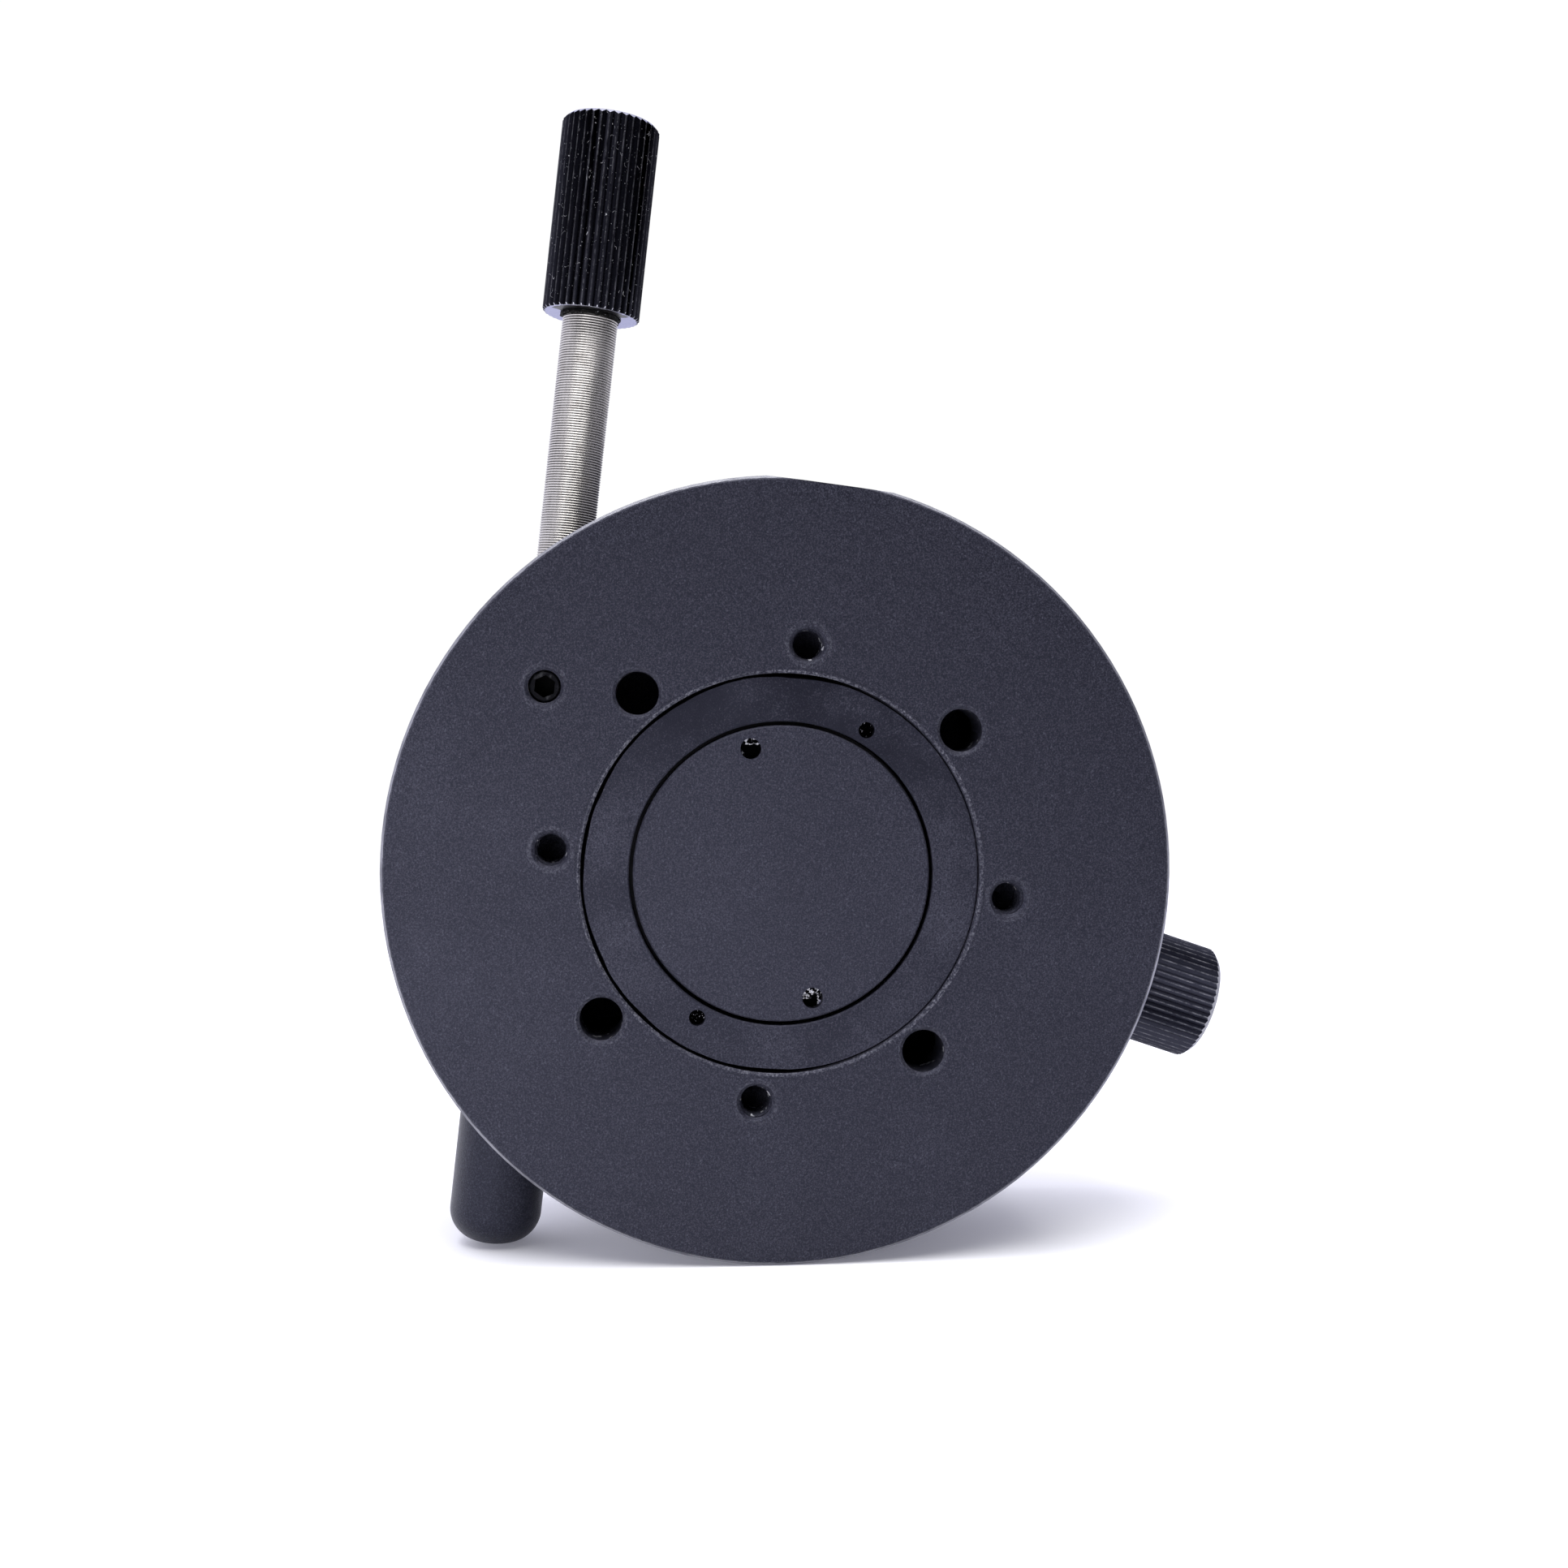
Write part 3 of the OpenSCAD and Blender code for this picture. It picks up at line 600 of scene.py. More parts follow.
def helix(bm, radius, depth, pitch, z_start, z_end, steps):
    """Adds a V thread's skin round the Z axis, from z_start to about z_end."""
    turns = int((z_end - z_start) / pitch) - 1
    flat = pitch / 8
    profile = [(radius - depth, 0), (radius - depth, flat), (radius, pitch / 2 - flat / 2),
               (radius, pitch / 2 + flat / 2), (radius - depth, pitch)]
    verts = [bm.verts.new((r, 0, z_start + z)) for r, z in profile]
    edges = [bm.edges.new(pair) for pair in zip(verts, verts[1:])]
    bmesh.ops.spin(bm, geom=verts + edges, cent=(0, 0, 0), axis=(0, 0, 1),
                   dvec=(0, 0, pitch / steps), angle=math.tau, steps=steps)
    faces = island(verts[0])
    turn = list({g for f in faces for g in [f, *f.verts, *f.edges]})
    for number in range(1, turns):
        copy = bmesh.ops.duplicate(bm, geom=turn)["geom"]
        moved = [g for g in copy if isinstance(g, bmesh.types.BMVert)]
        bmesh.ops.translate(bm, verts=moved, vec=(0, 0, pitch * number))
    bmesh.ops.remove_doubles(bm, verts=bm.verts, dist=MERGE)


def close_ends(bm, z_start, z_end):
    """Draws the open edges of a skin round the Z axis to a point at each end."""
    middle = (z_start + z_end) / 2
    rim = [e for e in bm.edges if e.is_boundary]
    grown = bmesh.ops.extrude_edge_only(bm, edges=rim)["geom"]
    for vert in (g for g in grown if isinstance(g, bmesh.types.BMVert)):
        vert.co = Vector((0, 0, z_start if vert.co.z < middle else z_end))


# %% [markdown]
# ## Rods and lathe work
#
# Round pieces are spun from half a section, as on a lathe. `lathe` takes the points of
# the section from one end to the other, as radius and height.

# %% Lathe
def lathe(bm, section, steps=64):
    """Spins a section of (radius, height) points once round the Z axis."""
    verts = [bm.verts.new((r, 0, z)) for r, z in section]
    edges = [bm.edges.new(pair) for pair in zip(verts, verts[1:])]
    bmesh.ops.spin(bm, geom=verts + edges, cent=(0, 0, 0), axis=(0, 0, 1),
                   angle=math.tau, steps=steps, use_merge=True)


# %% [markdown]
# ## The fine screw
#
# The screw has a fine 0.4 mm thread over the length that shows, so about 130 turns. Its
# crests are rubbed bright by the bush, and below them it is painted dark with old oil and
# painted shade, so the finish goes by the distance from the screw's own axis.

# %% Finish of the thread
THREAD_PITCH = 0.4
THREAD_DEPTH = 0.2
CREST_WEAR = 0.03
STEEL = (0.5, 0.48, 0.455, 1)
ROOT_OIL_AND_SHADE = (0.012, 0.011, 0.01, 1)


def threaded_steel():
    """Bright crests, with old lubricant and painted shade in the roots of the thread."""
    finish = Finish("thread_steel")
    y = finish.y - screw_y * MM
    z = finish.z - screw_z * MM
    crest = (y * y + z * z).root().ramp((rod_r - THREAD_DEPTH) * MM, (rod_r - CREST_WEAR) * MM)
    streaks = finish.noise(60, 3.0, 0.6, finish.stretched(0, 4.0, 1.0)).ramp(0.35, 0.68)
    # Dark below the crests: old oil and painted shade in the roots and flanks.
    oil_and_shade = (1.0 - crest) * (streaks * 0.35 + 0.65)
    patina = finish.noise(420, 4.0, 0.65).ramp(0.45, 0.75)
    colour = (patina * 0.3).blend(STEEL, (0.3, 0.27, 0.25, 1))
    colour = oil_and_shade.blend(colour, ROOT_OIL_AND_SHADE)
    return finish.surface(Base_Color=colour, Metallic=1.0 - oil_and_shade * 0.7,
                          Roughness=0.3 + patina * 0.15 + oil_and_shade * 0.2)


screw_finish = threaded_steel()
print("thread finish:", screw_finish.name)

# %% [markdown]
# ## The screw's three lengths
#
# The inner end runs plain in the bush and has a small bevel at its tip. Then comes the
# thread, which runs out into the plain part over a short cone. Last comes the thinner
# shank that sits in the knob. The three skins overlap a little inside, so no gap shows.

# %% Fine screw
THREAD_START = 30.0
THREAD_STEPS = 36
SHANK_R = 3.5
TIP_BEVEL = 0.5
RUN_OUT = 0.3
OVERLAP = 0.2
NECK = 0.8
knob_low, knob_high = box_mm("adjuster_knob")
knob_start = knob_low.x

bm = bmesh.new()
root_r = rod_r - THREAD_DEPTH
helix(bm, rod_r, THREAD_DEPTH, THREAD_PITCH, THREAD_START, knob_start, THREAD_STEPS)
close_ends(bm, THREAD_START, knob_start)
lathe(bm, [(0, rod_low.x), (rod_r - TIP_BEVEL, rod_low.x), (rod_r, rod_low.x + TIP_BEVEL),
           (rod_r, THREAD_START - RUN_OUT), (root_r, THREAD_START + OVERLAP),
           (0, THREAD_START + OVERLAP)])
lathe(bm, [(0, knob_start - NECK), (root_r, knob_start - NECK), (root_r, knob_start),
           (SHANK_R, knob_start), (SHANK_R, rod_high.x), (0, rod_high.x)])
put("threaded_rod", bm, screw_place, screw_finish, "fine_screw",
    ["adjuster_screw"], crisp=math.radians(80))

# %% [markdown]
# ## The knobs' black skin
#
# The knobs are dyed black too. Their ends were turned after that, so the cones and the
# inner face are bare. Their crests are painted lighter, as rubbed wear and painted
# highlight. Fluff and dust stick to them: short curved fibres where one noise is close to
# its middle value, and tiny specks. Round the screw the inner face is painted black with
# grease and painted shade, reaching further on the -Z side.

# %% Knob finish
CREST_DEPTH = 0.1
HAIR = 0.03
FIBRE_SPREAD = 0.00002
DUST = (0.5, 0.5, 0.52, 1)
FLUFF = (0.45, 0.45, 0.47, 1)
CREST_WEAR_AND_HIGHLIGHT = (0.3, 0.3, 0.33, 1)


def dot(finish, offset, direction):
    """Length of an offset along a direction."""
    return finish.node("VectorMath", {"operation": "DOT_PRODUCT"}, {0: offset, 1: direction},
                       output="Value")


def knob_finish(name, place, radius, start, end, chamfers, look):
    """Black knurled knob whose cut ends show metal, whose crests are painted lighter as wear and
    painted highlight, and whose inner face has painted shade and grease round the screw. Sizes
    are in mm.
    """
    finish = Finish(name)
    turn = place.to_3x3().transposed()
    offset = finish.node("VectorMath", {"operation": "SUBTRACT"},
                         {0: finish.point, 1: place.translation * MM})
    side, up, out = (dot(finish, offset, row) for row in turn)
    r = (side * side + up * up).root()
    wear = finish.noise(600, 4.0, 0.75)
    # Lighter crests: rubbed wear and painted highlight.
    crest = (r > (radius - CREST_DEPTH) * MM) * wear.ramp(0.35, 0.7)
    swirl = finish.noise(700, 1.0, 0.5) - 0.5
    fibres = swirl * swirl < FIBRE_SPREAD
    fibres = fibres * (finish.noise(900, 1.0, 0.5) > look["fibres"])
    dust = finish.noise(5200, 1.0, 0.4).ramp(0.75, 0.79)
    first_cone = r - out > (radius - start - chamfers[0] - HAIR) * MM
    last_cone = r + out > (radius + end - chamfers[1] - HAIR) * MM
    face = out < (start + HAIR) * MM
    bare = first_cone | last_cone | face
    # Black ring on the inner face round the screw: grease and painted shade, reaching further on
    # the -Z side.
    shade_below_axis = (place.translation.z * MM - finish.z).ramp(1.5 * MM, 3.5 * MM)
    reach = (look["oil_and_shade"] * MM + shade_below_axis * 2.2 * MM) + (wear - 0.5) * 1.4 * MM
    oil_and_shade = face * (r < reach)
    colour = (dust * look["dust"]).blend(look["tint"], DUST)
    colour = (fibres * look["dust"]).blend(colour, FLUFF)
    colour = (crest * look["crest"]).blend(colour, CREST_WEAR_AND_HIGHLIGHT)
    colour = (bare * look["bare"]).blend(colour, look["metal"])
    colour = oil_and_shade.blend(colour, DIRT_AND_SHADE)
    roughness = look["rough"] + dust * 0.4 + wear * 0.12 + bare * 0.1
    return finish.surface(Base_Color=colour, Roughness=roughness,
                          Metallic=bare * (1.0 - oil_and_shade) * look["mirror"],
                          Specular_IOR_Level=look["shine"], Specular_Tint=COOL)


# %% [markdown]
# ## Straight knurling
#
# Both knobs have straight V grooves cut along them. The wheel that rolls them leaves a
# slightly rounded crest, which is what catches the light, so the knobs are modelled
# again with the crests bevelled. Four star-shaped rings give the chamfered ends, with
# each groove's floor running out where the chamfer meets it.

# %% Knurled body
GROOVE_SHARE = 0.4
LEAST_STEP = 0.01
TOUCH = 0.001


def star_ring(bm, teeth, crest, root):
    """Ring of points that are crests and groove floors in turn, as (radius, height)."""
    ring = bmesh.ops.create_circle(bm, segments=2 * teeth, radius=1)["verts"]
    for number, vert in enumerate(ring):
        radius, height = root if number % 2 else crest
        vert.co = Vector((vert.co.x * radius, vert.co.y * radius, height))
    return ring


def ring_edges(verts):
    """Edges between the points of one ring."""
    inside = set(verts)
    return [e for e in {e for v in verts for e in v.link_edges} if set(e.verts) <= inside]


def plain_ring(bm, count, radius, height):
    """Ring of points on a circle."""
    ring = bmesh.ops.create_circle(bm, segments=count, radius=radius)["verts"]
    bmesh.ops.translate(bm, verts=ring, vec=(0, 0, height))
    return ring


def knurled(bm, radius, start, end, teeth, chamfers, bores, crest_bevel=0.06):
    """Knob with V grooves: bores are rings of (radius, height) from end face to start face."""
    depth = math.pi * 2 * radius / teeth * GROOVE_SHARE
    floor = radius - depth
    first, last = chamfers
    first_step, last_step = (max(LEAST_STEP, chamfer - depth) for chamfer in chamfers)
    rings = [
        star_ring(bm, teeth, (radius - first, start), (min(floor, radius - first), start)),
        star_ring(bm, teeth, (radius, start + first), (floor, start + first_step)),
        star_ring(bm, teeth, (radius, end - last), (floor, end - last_step)),
        star_ring(bm, teeth, (radius - last, end), (min(floor, radius - last), end)),
    ]
    rings += [plain_ring(bm, 2 * teeth, r, z) for r, z in bores]
    for ring, after in zip(rings, rings[1:] + rings[:1]):
        bmesh.ops.bridge_loops(bm, edges=ring_edges(ring) + ring_edges(after))
    crests = [v for v in rings[1] if v.co.xy.length > radius - TOUCH]
    tops = {v for v in rings[2] if v.co.xy.length > radius - TOUCH}
    lines = [e for v in crests for e in v.link_edges if e.other_vert(v) in tops]
    bmesh.ops.bevel(bm, geom=lines, offset=crest_bevel, segments=2, profile=0.5,
                    affect="EDGES", material=-1)


# %% [markdown]
# ## The fine knob
#
# The long knob has 38 teeth and is glossy. A cap screw in its outer end holds it on the
# shank, so it is bored through in three steps: the screw's head, the screw and the shank.

# %% Fine knob
KNOB_CHAMFERS = (0.3, 0.6)
KNOB_TEETH = 38
HEAD_R = 3.7
HEAD_H = 4
PILOT_R = 2.2
SHANK_GAP = (0.02, 0.2)
knob_r = (knob_high.z - knob_low.z) / 2
knob_end = knob_high.x
head_seat = box_mm("knob_screw")[1].x - HEAD_H
bore_r = SHANK_R + SHANK_GAP[0]
bore_end = rod_high.x + SHANK_GAP[1]
glossy = {"tint": (0.0015, 0.0015, 0.0025, 1), "dust": 0.7, "fibres": 0.64, "crest": 0.14,
          "bare": 1.0, "metal": (0.36, 0.36, 0.4, 1), "mirror": 0.85, "rough": 0.15,
          "shine": 0.16, "oil_and_shade": rod_r + 0.3}
knob_gloss = knob_finish("knob_gloss", screw_place, knob_r, knob_start, knob_end,
                         KNOB_CHAMFERS, glossy)
bm = bmesh.new()
knurled(bm, knob_r, knob_start, knob_end, KNOB_TEETH, KNOB_CHAMFERS,
        [(HEAD_R, knob_end), (HEAD_R, head_seat), (PILOT_R, head_seat), (PILOT_R, bore_end),
         (bore_r, bore_end), (bore_r, knob_start)])
put("fine_knob", bm, screw_place, knob_gloss, "fine_screw", ["adjuster_knob"])

# %% [markdown]
# ## The lock knob
#
# The short knob at the side has 50 finer teeth and a satin skin. It is turned to lie
# along its joint's axis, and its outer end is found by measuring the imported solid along
# that axis. The lock screw's head is pressed in its outer end.

# %% Lock knob
LOCK_CHAMFERS = (0.6, 1.0)
LOCK_TEETH = 50
LOCK_GAP = 1.3
LOCK_HEAD_R = 4.27
LOCK_HEAD_H = 6
LOCK_BORE_R = 2.52
lock_low, lock_high = box_mm("lock_knob")
lock_r = (lock_high.z - lock_low.z) / 2
lock_start = base_r + LOCK_GAP
lock_mesh = frame["nodes"]["lock_knob"].data
lock_end = max(vert.co.to_3d().dot(lock_axis) for vert in lock_mesh.vertices) / MM
head_floor = lock_end - LOCK_HEAD_H
satin = {"tint": (0.009, 0.0095, 0.0165, 1), "dust": 0.1, "fibres": 0.72, "crest": 0.5,
         "bare": 1.0, "metal": (0.26, 0.26, 0.28, 1), "mirror": 0.25, "rough": 0.34,
         "shine": 0.36, "oil_and_shade": 0.0}
knob_satin = knob_finish("knob_satin", lock_place, lock_r, lock_start, lock_end,
                         LOCK_CHAMFERS, satin)
bm = bmesh.new()
knurled(bm, lock_r, lock_start, lock_end, LOCK_TEETH, LOCK_CHAMFERS,
        [(LOCK_HEAD_R, lock_end), (LOCK_HEAD_R, head_floor), (LOCK_BORE_R, head_floor),
         (LOCK_BORE_R, lock_start)])
put("side_knob", bm, lock_place, knob_satin, "lock_knob", ["lock_knob"])

# %% [markdown]
# ## The plunger's spring
#
# The spring behind the plunger is hidden in its housing, but it shows when the housing is
# taken off. A closed ring of points is spun with a step along the axis.

# %% Spring
WIRE = 1.0
SPRING_TURNS = 9


def coil(bm, radius, wire, pitch, turns, z_start, steps=20, sides=8):
    """Adds a closed coil of round wire round the Z axis."""
    ring = bmesh.ops.create_circle(bm, segments=sides, radius=wire / 2)["verts"]
    upright = Matrix.Rotation(math.pi / 2, 3, "X")
    bmesh.ops.rotate(bm, verts=ring, cent=(0, 0, 0), matrix=upright)
    bmesh.ops.translate(bm, verts=ring, vec=(radius, 0, z_start))
    bmesh.ops.spin(bm, geom=ring + ring_edges(ring), cent=(0, 0, 0), axis=(0, 0, 1),
                   dvec=(0, 0, pitch / steps), angle=math.tau * turns, steps=steps * turns)
    bmesh.ops.holes_fill(bm, edges=[e for e in bm.edges if e.is_boundary])


spring_low, spring_high = box_mm("plunger_spring")
spring_middle = (spring_low + spring_high) / 2
spring_length = spring_high.x - spring_low.x
spring_radius = (spring_high.z - spring_low.z - WIRE) / 2
spring_place = along(Vector((1, 0, 0)), Vector((0, spring_middle.y, spring_middle.z)))
bm = bmesh.new()
coil(bm, spring_radius, WIRE, (spring_length - WIRE) / SPRING_TURNS, SPRING_TURNS,
     spring_low.x + WIRE / 2)
spring = put("coil_spring", bm, spring_place, bearing_finish, "base",
             ["plunger_spring"])
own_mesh(spring)

# %% [markdown]
# ## Grime where the screw enters the knob
#
# Oil and dust gather in the corner between the screw and its knob. It is a ragged black
# bead: a small ring whose points are pushed in and out by a seeded random amount.

# %% Grime bead
BEAD = [(-0.3, -0.35), (0.12, -0.3), (0.4, -0.08), (0.4, 0.1), (-0.3, 0.1)]
BEAD_STEPS = 72
RAGGED_BACK = 0.35
RAGGED_OUT = 0.07
GREASE = (0.002, 0.002, 0.002, 1)
GRIT = (0.3, 0.3, 0.31, 1)


def grime():
    """Finish of old oil with grit in it."""
    finish = Finish("grime")
    grit = finish.noise(2600, 2.0, 0.6)
    colour = grit.ramp(0.66, 0.74).blend(GREASE, GRIT)
    return finish.surface(Base_Color=colour, Roughness=0.45 + grit * 0.3,
                          Normal=finish.bump(grit, 0.00006, 1.0), Specular_IOR_Level=0.1)


rng = random.Random(7)
bm = bmesh.new()
lathe(bm, [(rod_r + out, knob_start + up) for out, up in BEAD], steps=BEAD_STEPS)
bmesh.ops.remove_doubles(bm, verts=bm.verts, dist=MERGE)
bmesh.ops.holes_fill(bm, edges=bm.edges)
for vert in bm.verts:
    if vert.co.z < knob_start and vert.co.xy.length > rod_r:
        vert.co.z -= rng.random() * RAGGED_BACK
        vert.co.xy *= 1 + (rng.random() - 0.6) * RAGGED_OUT
put("grime_bead", bm, screw_place, grime(), "fine_screw")

# %% [markdown]
# ## Threads in the tapped holes
#
# A tapped hole shows its thread as a fine ridge that winds down its wall. One ridge is
# coiled from a small triangular section, and then copied to every hole of its piece.

# %% Tapped threads
TAP_PITCH = 1.0
RIDGE = [(0.04, 0.08), (-0.26, 0.44), (-0.26, 0.56), (0.04, 0.92)]
BASE_THREAD = (0.6, 7.6)
TABLE_THREAD = (table_top - 7.5, table_top - 0.5)
OUTER_HOLES_R = 2 * GRID


def ridge(bm, z_start, z_end, steps=20):
    """Adds a closed ridge that winds along the wall of a tapped hole on the Z axis."""
    turns = round((z_end - z_start) / TAP_PITCH) - 1
    verts = [bm.verts.new((TAPPED_R + out, 0, z_start + up)) for out, up in RIDGE]
    face = bm.faces.new(verts)
    bmesh.ops.spin(bm, geom=[face], cent=(0, 0, 0), axis=(0, 0, 1),
                   dvec=(0, 0, TAP_PITCH / steps), angle=math.tau * turns,
                   steps=steps * turns)
    open_edges = [e for e in bm.edges if e.is_boundary]
    bmesh.ops.holes_fill(bm, edges=open_edges)


def copy_to(bm, places):
    """Leaves a copy of everything in the bmesh at each place, and none at the origin."""
    first = bm.verts[:] + bm.edges[:] + bm.faces[:]
    for x, y in places:
        copy = bmesh.ops.duplicate(bm, geom=first)["geom"]
        moved = [g for g in copy if isinstance(g, bmesh.types.BMVert)]
        bmesh.ops.translate(bm, verts=moved, vec=(x, y, 0))
    bmesh.ops.delete(bm, geom=[g for g in first if isinstance(g, bmesh.types.BMVert)],
                     context="VERTS")


bm = bmesh.new()
ridge(bm, *BASE_THREAD)
copy_to(bm, tapped_places)
put("base_threads", bm, Matrix(), base_finish, "base")

bm = bmesh.new()
ridge(bm, *TABLE_THREAD)
copy_to(bm, [(0, 0)] + quarters(GRID) + corners + quarters(OUTER_HOLES_R))
put("table_threads", bm, Matrix(), table_finish, "table")

# %% [markdown]
# ## The scale
#
# The table's edge carries a line for each degree, longer at each fifth and tenth, with a
# figure at each tenth. On the real piece they are engraved and filled with paint, which
# is drawn here as paint a hair above the metal.

# %% Lines and figures
PAINT = 0.03
LINE_WIDTH = 0.16
SCALE_LINES = (3.4, 2.7, 1.9)
SCALE_FIGURE = 2.6
SCALE_FIGURE_RISE = 5.6
SCALE_MARGIN = 0.7
scale_turn = math.radians(0.6)
tick_base = table_low.z + SCALE_MARGIN


def line(bm, width, z_start, z_end, x, angle=0.0, y=0.0):
    """Adds an upright line of paint at distance x from the axis."""
    made = bmesh.ops.create_cube(bm, size=1)["verts"]
    bmesh.ops.scale(bm, verts=made, vec=(2 * PAINT, width, z_end - z_start))
    bmesh.ops.translate(bm, verts=made, vec=(x, y, (z_start + z_end) / 2))
    bmesh.ops.rotate(bm, verts=made, cent=(0, 0, 0), matrix=Matrix.Rotation(angle, 3, "Z"))


def figure(bm, text, size, x, z, angle=0.0, y=0.0, bent=True):
    """Adds a number in the built-in font, upright at distance x from the axis."""
    curve = bpy.data.curves.new("figure", "FONT")
    curve.body = text
    curve.size = size
    curve.align_x = "CENTER"
    curve.align_y = "CENTER"
    curve.extrude = PAINT
    curve.resolution_u = 3
    holder = bpy.data.objects.new("figure", curve)
    mesh = bpy.data.meshes.new_from_object(holder)
    bpy.data.objects.remove(holder)
    bpy.data.curves.remove(curve)
    before = set(bm.verts)
    bm.from_mesh(mesh)
    bpy.data.meshes.remove(mesh)
    for vert in (v for v in bm.verts if v not in before):
        across, up, proud = vert.co
        turn = Matrix.Rotation(angle + (across / x if bent else 0), 3, "Z")
        vert.co = turn @ Vector((x + proud, y + (0 if bent else across), z + up))


def line_length(number, long_every, middle_every, lengths):
    """Length of a scale's line: long, middle or short."""
    long, middle, short = lengths
    return long if number % long_every == 0 else middle if number % middle_every == 0 else short


bm = bmesh.new()
for degree in range(360):
    length = line_length(degree, 10, 5, SCALE_LINES)
    angle = scale_turn + math.radians(degree)
    line(bm, LINE_WIDTH, tick_base, tick_base + length, table_r, angle)
for degree in range(0, 360, 10):
    angle = scale_turn + math.radians(degree)
    figure(bm, str(degree), SCALE_FIGURE, table_r, tick_base + SCALE_FIGURE_RISE, angle)
put("table_scale", bm, Matrix(), white_paint, "table")

# %% [markdown]
# ## The vernier
#
# The flat on the base carries a vernier: six lines to each side over five degrees of the
# table, so each reads ten minutes. The flat is flat, so a line's place on it goes by the
# tangent of its angle, and its figures aren't bent round the table.

# %% Vernier
VERNIER_SIDE = 6
VERNIER_STEP = math.radians(5 / VERNIER_SIDE)
VERNIER_LINES = (3.2, 2.7, 2.0)
VERNIER_FIGURE = 1.7
VERNIER_FIGURE_DROP = 4.4
VERNIER_MARGIN = 0.75
vernier_top = base_h - VERNIER_MARGIN
figure_z = vernier_top - VERNIER_FIGURE_DROP
bm = bmesh.new()
for step in range(-VERNIER_SIDE, VERNIER_SIDE + 1):
    length = line_length(step, 6, 3, VERNIER_LINES)
    shift = math.tan(step * VERNIER_STEP) * table_r
    line(bm, LINE_WIDTH, vernier_top - length, vernier_top, flat_x, scale_turn, shift)
    if step % 3 == 0:
        minutes = str(abs(step) * 10)
        figure(bm, minutes, VERNIER_FIGURE, flat_x, figure_z, scale_turn, shift, bent=False)
put("vernier", bm, Matrix(), white_paint, "base")

# %% [markdown]
# ## The camera
#
# The camera looks at the underside from about 26 cm, a little to one side, with +X
# upwards. Its turn is a small rotation from that straight view, as an axis times an
# angle, and its offset is where the origin lies as the camera sees it, in millimetres.

# %% Camera
CAMERA_TURN = Vector((0.038670, -0.081270, 0.112160))
CAMERA_OFFSET = Vector((-0.286, 13.815, 260.888))
LENS = 39.13
SENSOR = 36
NEAREST = 0.005
straight = Matrix(((0, 1, 0), (-1, 0, 0), (0, 0, 1)))
turned = Matrix.Rotation(CAMERA_TURN.length, 3, CAMERA_TURN.normalized()) @ straight
camera_at = -(turned.transposed() @ CAMERA_OFFSET) * MM
axes = Matrix((turned[0], -turned[1], -turned[2])).transposed().to_4x4()
camera_data = bpy.data.cameras.new("camera")
camera_data.lens = LENS
camera_data.sensor_width = SENSOR
camera_data.clip_start = NEAREST
camera = bpy.data.objects.new("camera", camera_data)
camera.matrix_world = Matrix.Translation(camera_at) @ axes
scene.collection.objects.link(camera)
scene.camera = camera
print("camera at", [round(x, 4) for x in camera_at])

# %% [markdown]
# ## The floors
#
# In the camera's view the stage stands on its rim on a white floor, so that floor is a
# plane that touches the rim on the -X side. A second floor under the base serves for
# every view from above. Each is solid only from the side where the stage is, so that
# neither hides the stage. A faint glow keeps the shadow on them bluish and soft.

# %% Floors
FLOOR_TILT = math.radians(-6.43)
FLOOR_SIZE = 1.2
RIM_GAP = 0.05
BASE_GAP = 0.3
FLOOR_WHITES = ((0.9, 0.9, 0.9, 1), (0.93, 0.93, 0.93, 1))
GLOW = (0.82, 0.82, 1.0, 1)
GLOW_STRENGTH = 0.16
floor_up = Vector((math.cos(FLOOR_TILT), math.sin(FLOOR_TILT), 0))


def one_sided_white():
    """White floor that is clear from behind."""
    finish = Finish("white_floor")
    fleck = finish.noise(40, 2.0, 0.5).blend(*FLOOR_WHITES)
    white = finish.node("BsdfPrincipled", None,
                        {"Base Color": fleck, "Roughness": 0.9, "Specular IOR Level": 0.1,
                         "Emission Color": GLOW, "Emission Strength": GLOW_STRENGTH})
    clear = finish.node("BsdfTransparent")
    behind = finish.node("NewGeometry", output="Backfacing")
    mixed = finish.node("MixShader", None, {0: behind, 1: white, 2: clear})
    finish.node("OutputMaterial", None, {"Surface": mixed})
    return finish.material


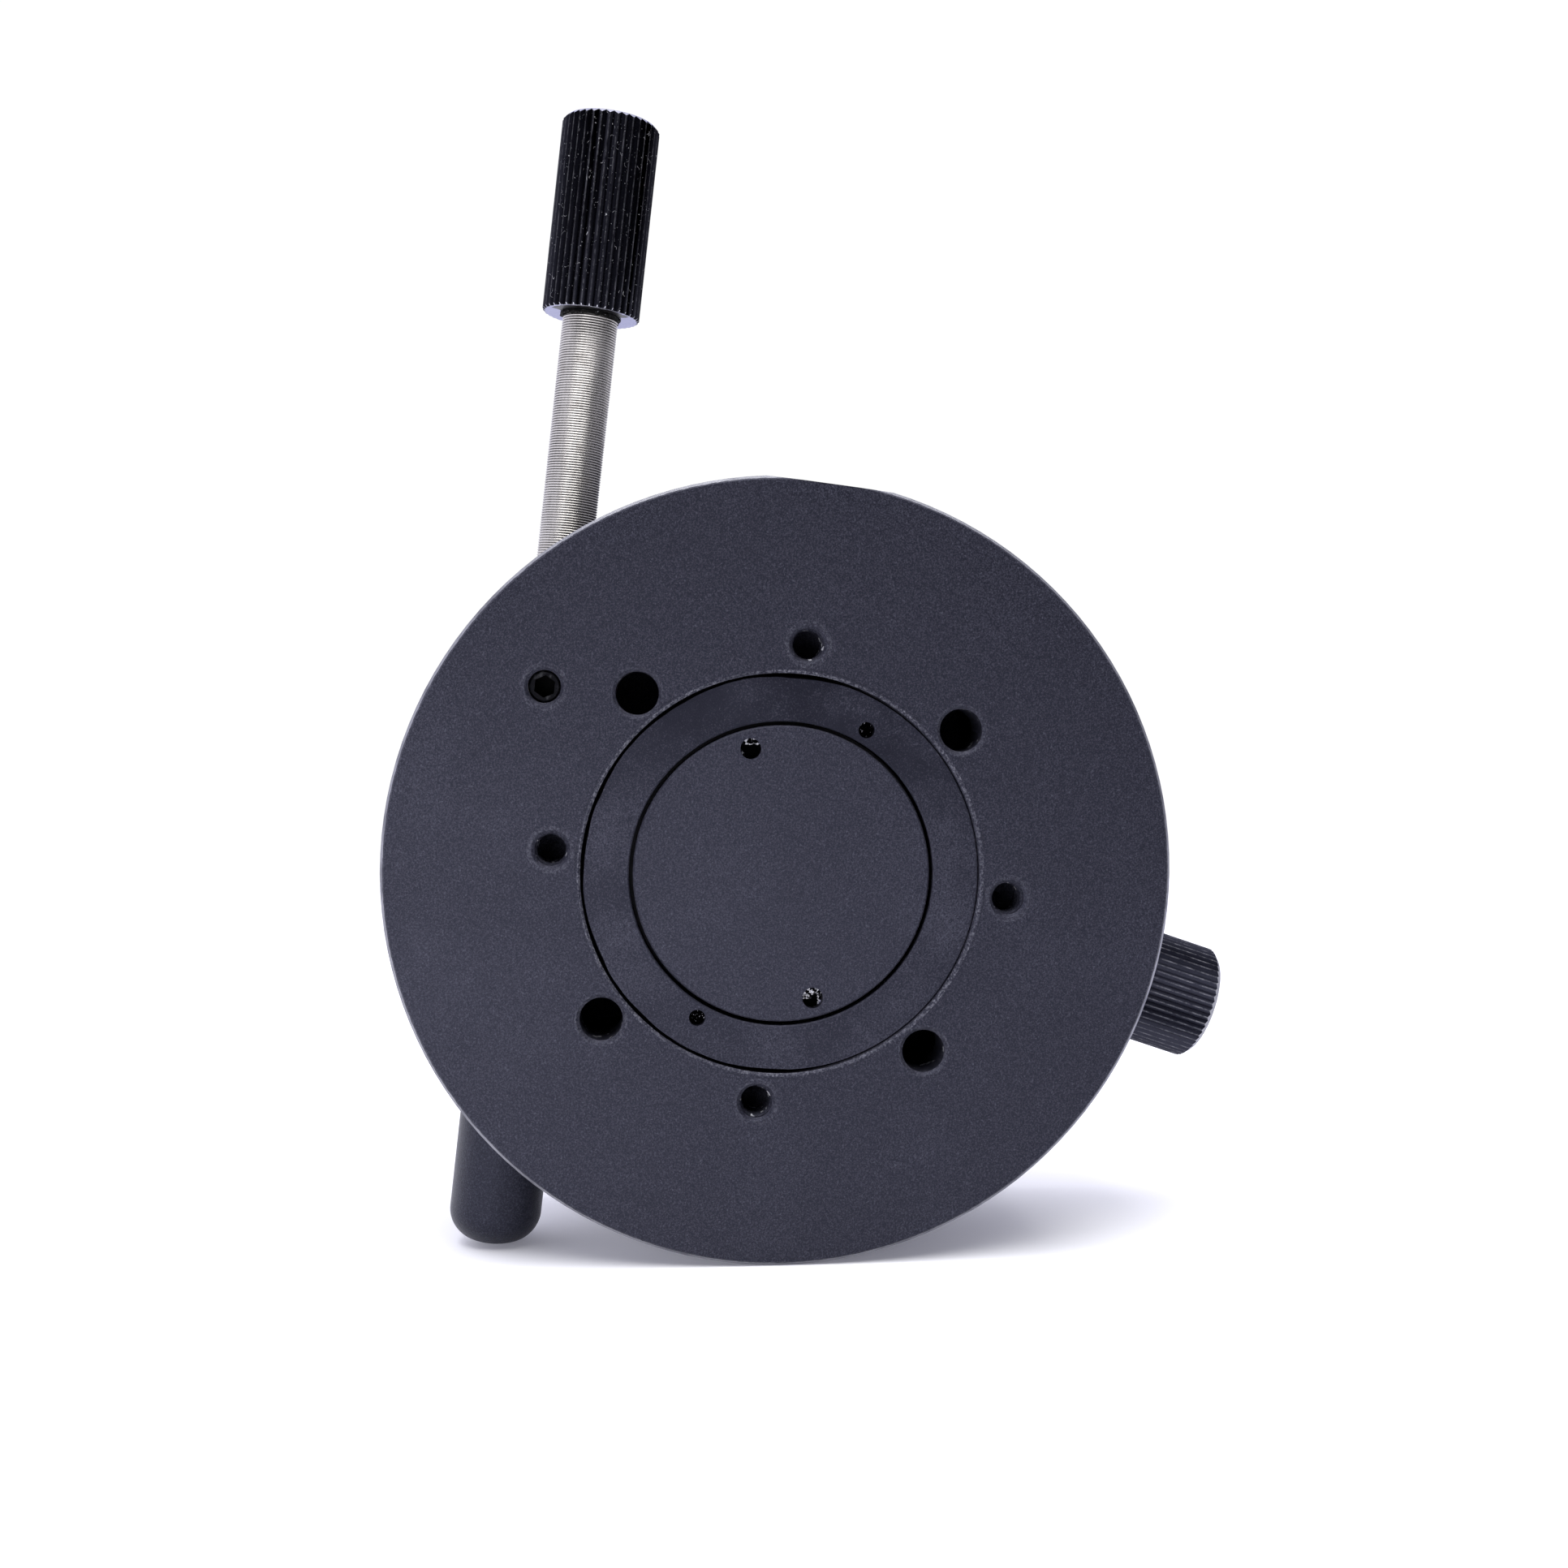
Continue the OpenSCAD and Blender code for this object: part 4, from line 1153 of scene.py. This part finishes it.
def floor(name, up, gap):
    """Square floor that faces a direction, some millimetres from the origin."""
    bm = bmesh.new()
    bmesh.ops.create_grid(bm, x_segments=1, y_segments=1, size=FLOOR_SIZE / 2)
    bmesh.ops.transform(bm, matrix=along(up, -up * gap * MM), verts=bm.verts)
    mesh = bpy.data.meshes.new(name)
    bm.to_mesh(mesh)
    bm.free()
    mesh.materials.append(floor_white)
    made = bpy.data.objects.new(name, mesh)
    scene.collection.objects.link(made)
    return made


floor_white = one_sided_white()
floor("rim_floor", floor_up, base_r + RIM_GAP)
base_floor = floor("base_floor", Vector((0, 0, 1)), BASE_GAP)
for ray in ("diffuse", "glossy", "transmission", "shadow"):
    setattr(base_floor, "visible_" + ray, False)
print("floors face", [round(part, 3) for part in floor_up], "and up")

# %% [markdown]
# ## The light
#
# The stage stands in a white light tent. The world is that tent: white behind the stage,
# brighter on one side and dimmer towards the camera, since the camera's side of the tent
# is open. That uneven room is what the dull black skin reflects. One large softbox adds
# the shadow, and a small close one the slight glow at the lower left of the underside.

# %% Light
BACKDROP = (1, 1, 1, 1)
TENT = (1.0, 1.0, 1.16, 1)
BACKDROP_STRENGTH = 1.03
scene.view_settings.view_transform = "Standard"
world = bpy.data.worlds.new("studio")
studio = Tree(world)
sky_x, sky_y, sky_z = studio.split(studio.node("TexCoord", output="Generated"))
front = (0.0 - sky_z).ramp(0.15, 0.85)
right = sky_y.ramp(-0.2, 0.8)
left = (0.0 - sky_y).ramp(0.3, 1.0)
level = 1.12 + left * 0.4 - front * (sky_x * 0.6 + 0.86) - right * 0.42
seen = studio.node("LightPath", output="Is Camera Ray")
colour = seen.blend(TENT, BACKDROP)
strength = seen * BACKDROP_STRENGTH + (1.0 - seen) * level
lit = studio.node("Background", None, {"Color": colour, "Strength": strength})
studio.node("OutputWorld", None, {"Surface": lit})
scene.world = world


def softbox(name, at, target, size, power):
    """Square soft light at a point that shines at another."""
    data = bpy.data.lights.new(name, "AREA")
    data.size = size
    data.energy = power
    light = bpy.data.objects.new(name, data)
    light.matrix_world = along(Vector(at) - Vector(target), Vector(at))
    scene.collection.objects.link(light)
    return light


key = softbox("key", (0.68, -0.08, -0.22), (0, 0, 0), 0.7, 7)
key.data.specular_factor = 0.3
fill = softbox("fill", (-0.05, -0.10, -0.16), (-0.03, -0.03, 0), 0.1, 0.13)
fill.visible_camera = False
print("lights:", key.name, key.data.energy, "W,", fill.name, fill.data.energy, "W")
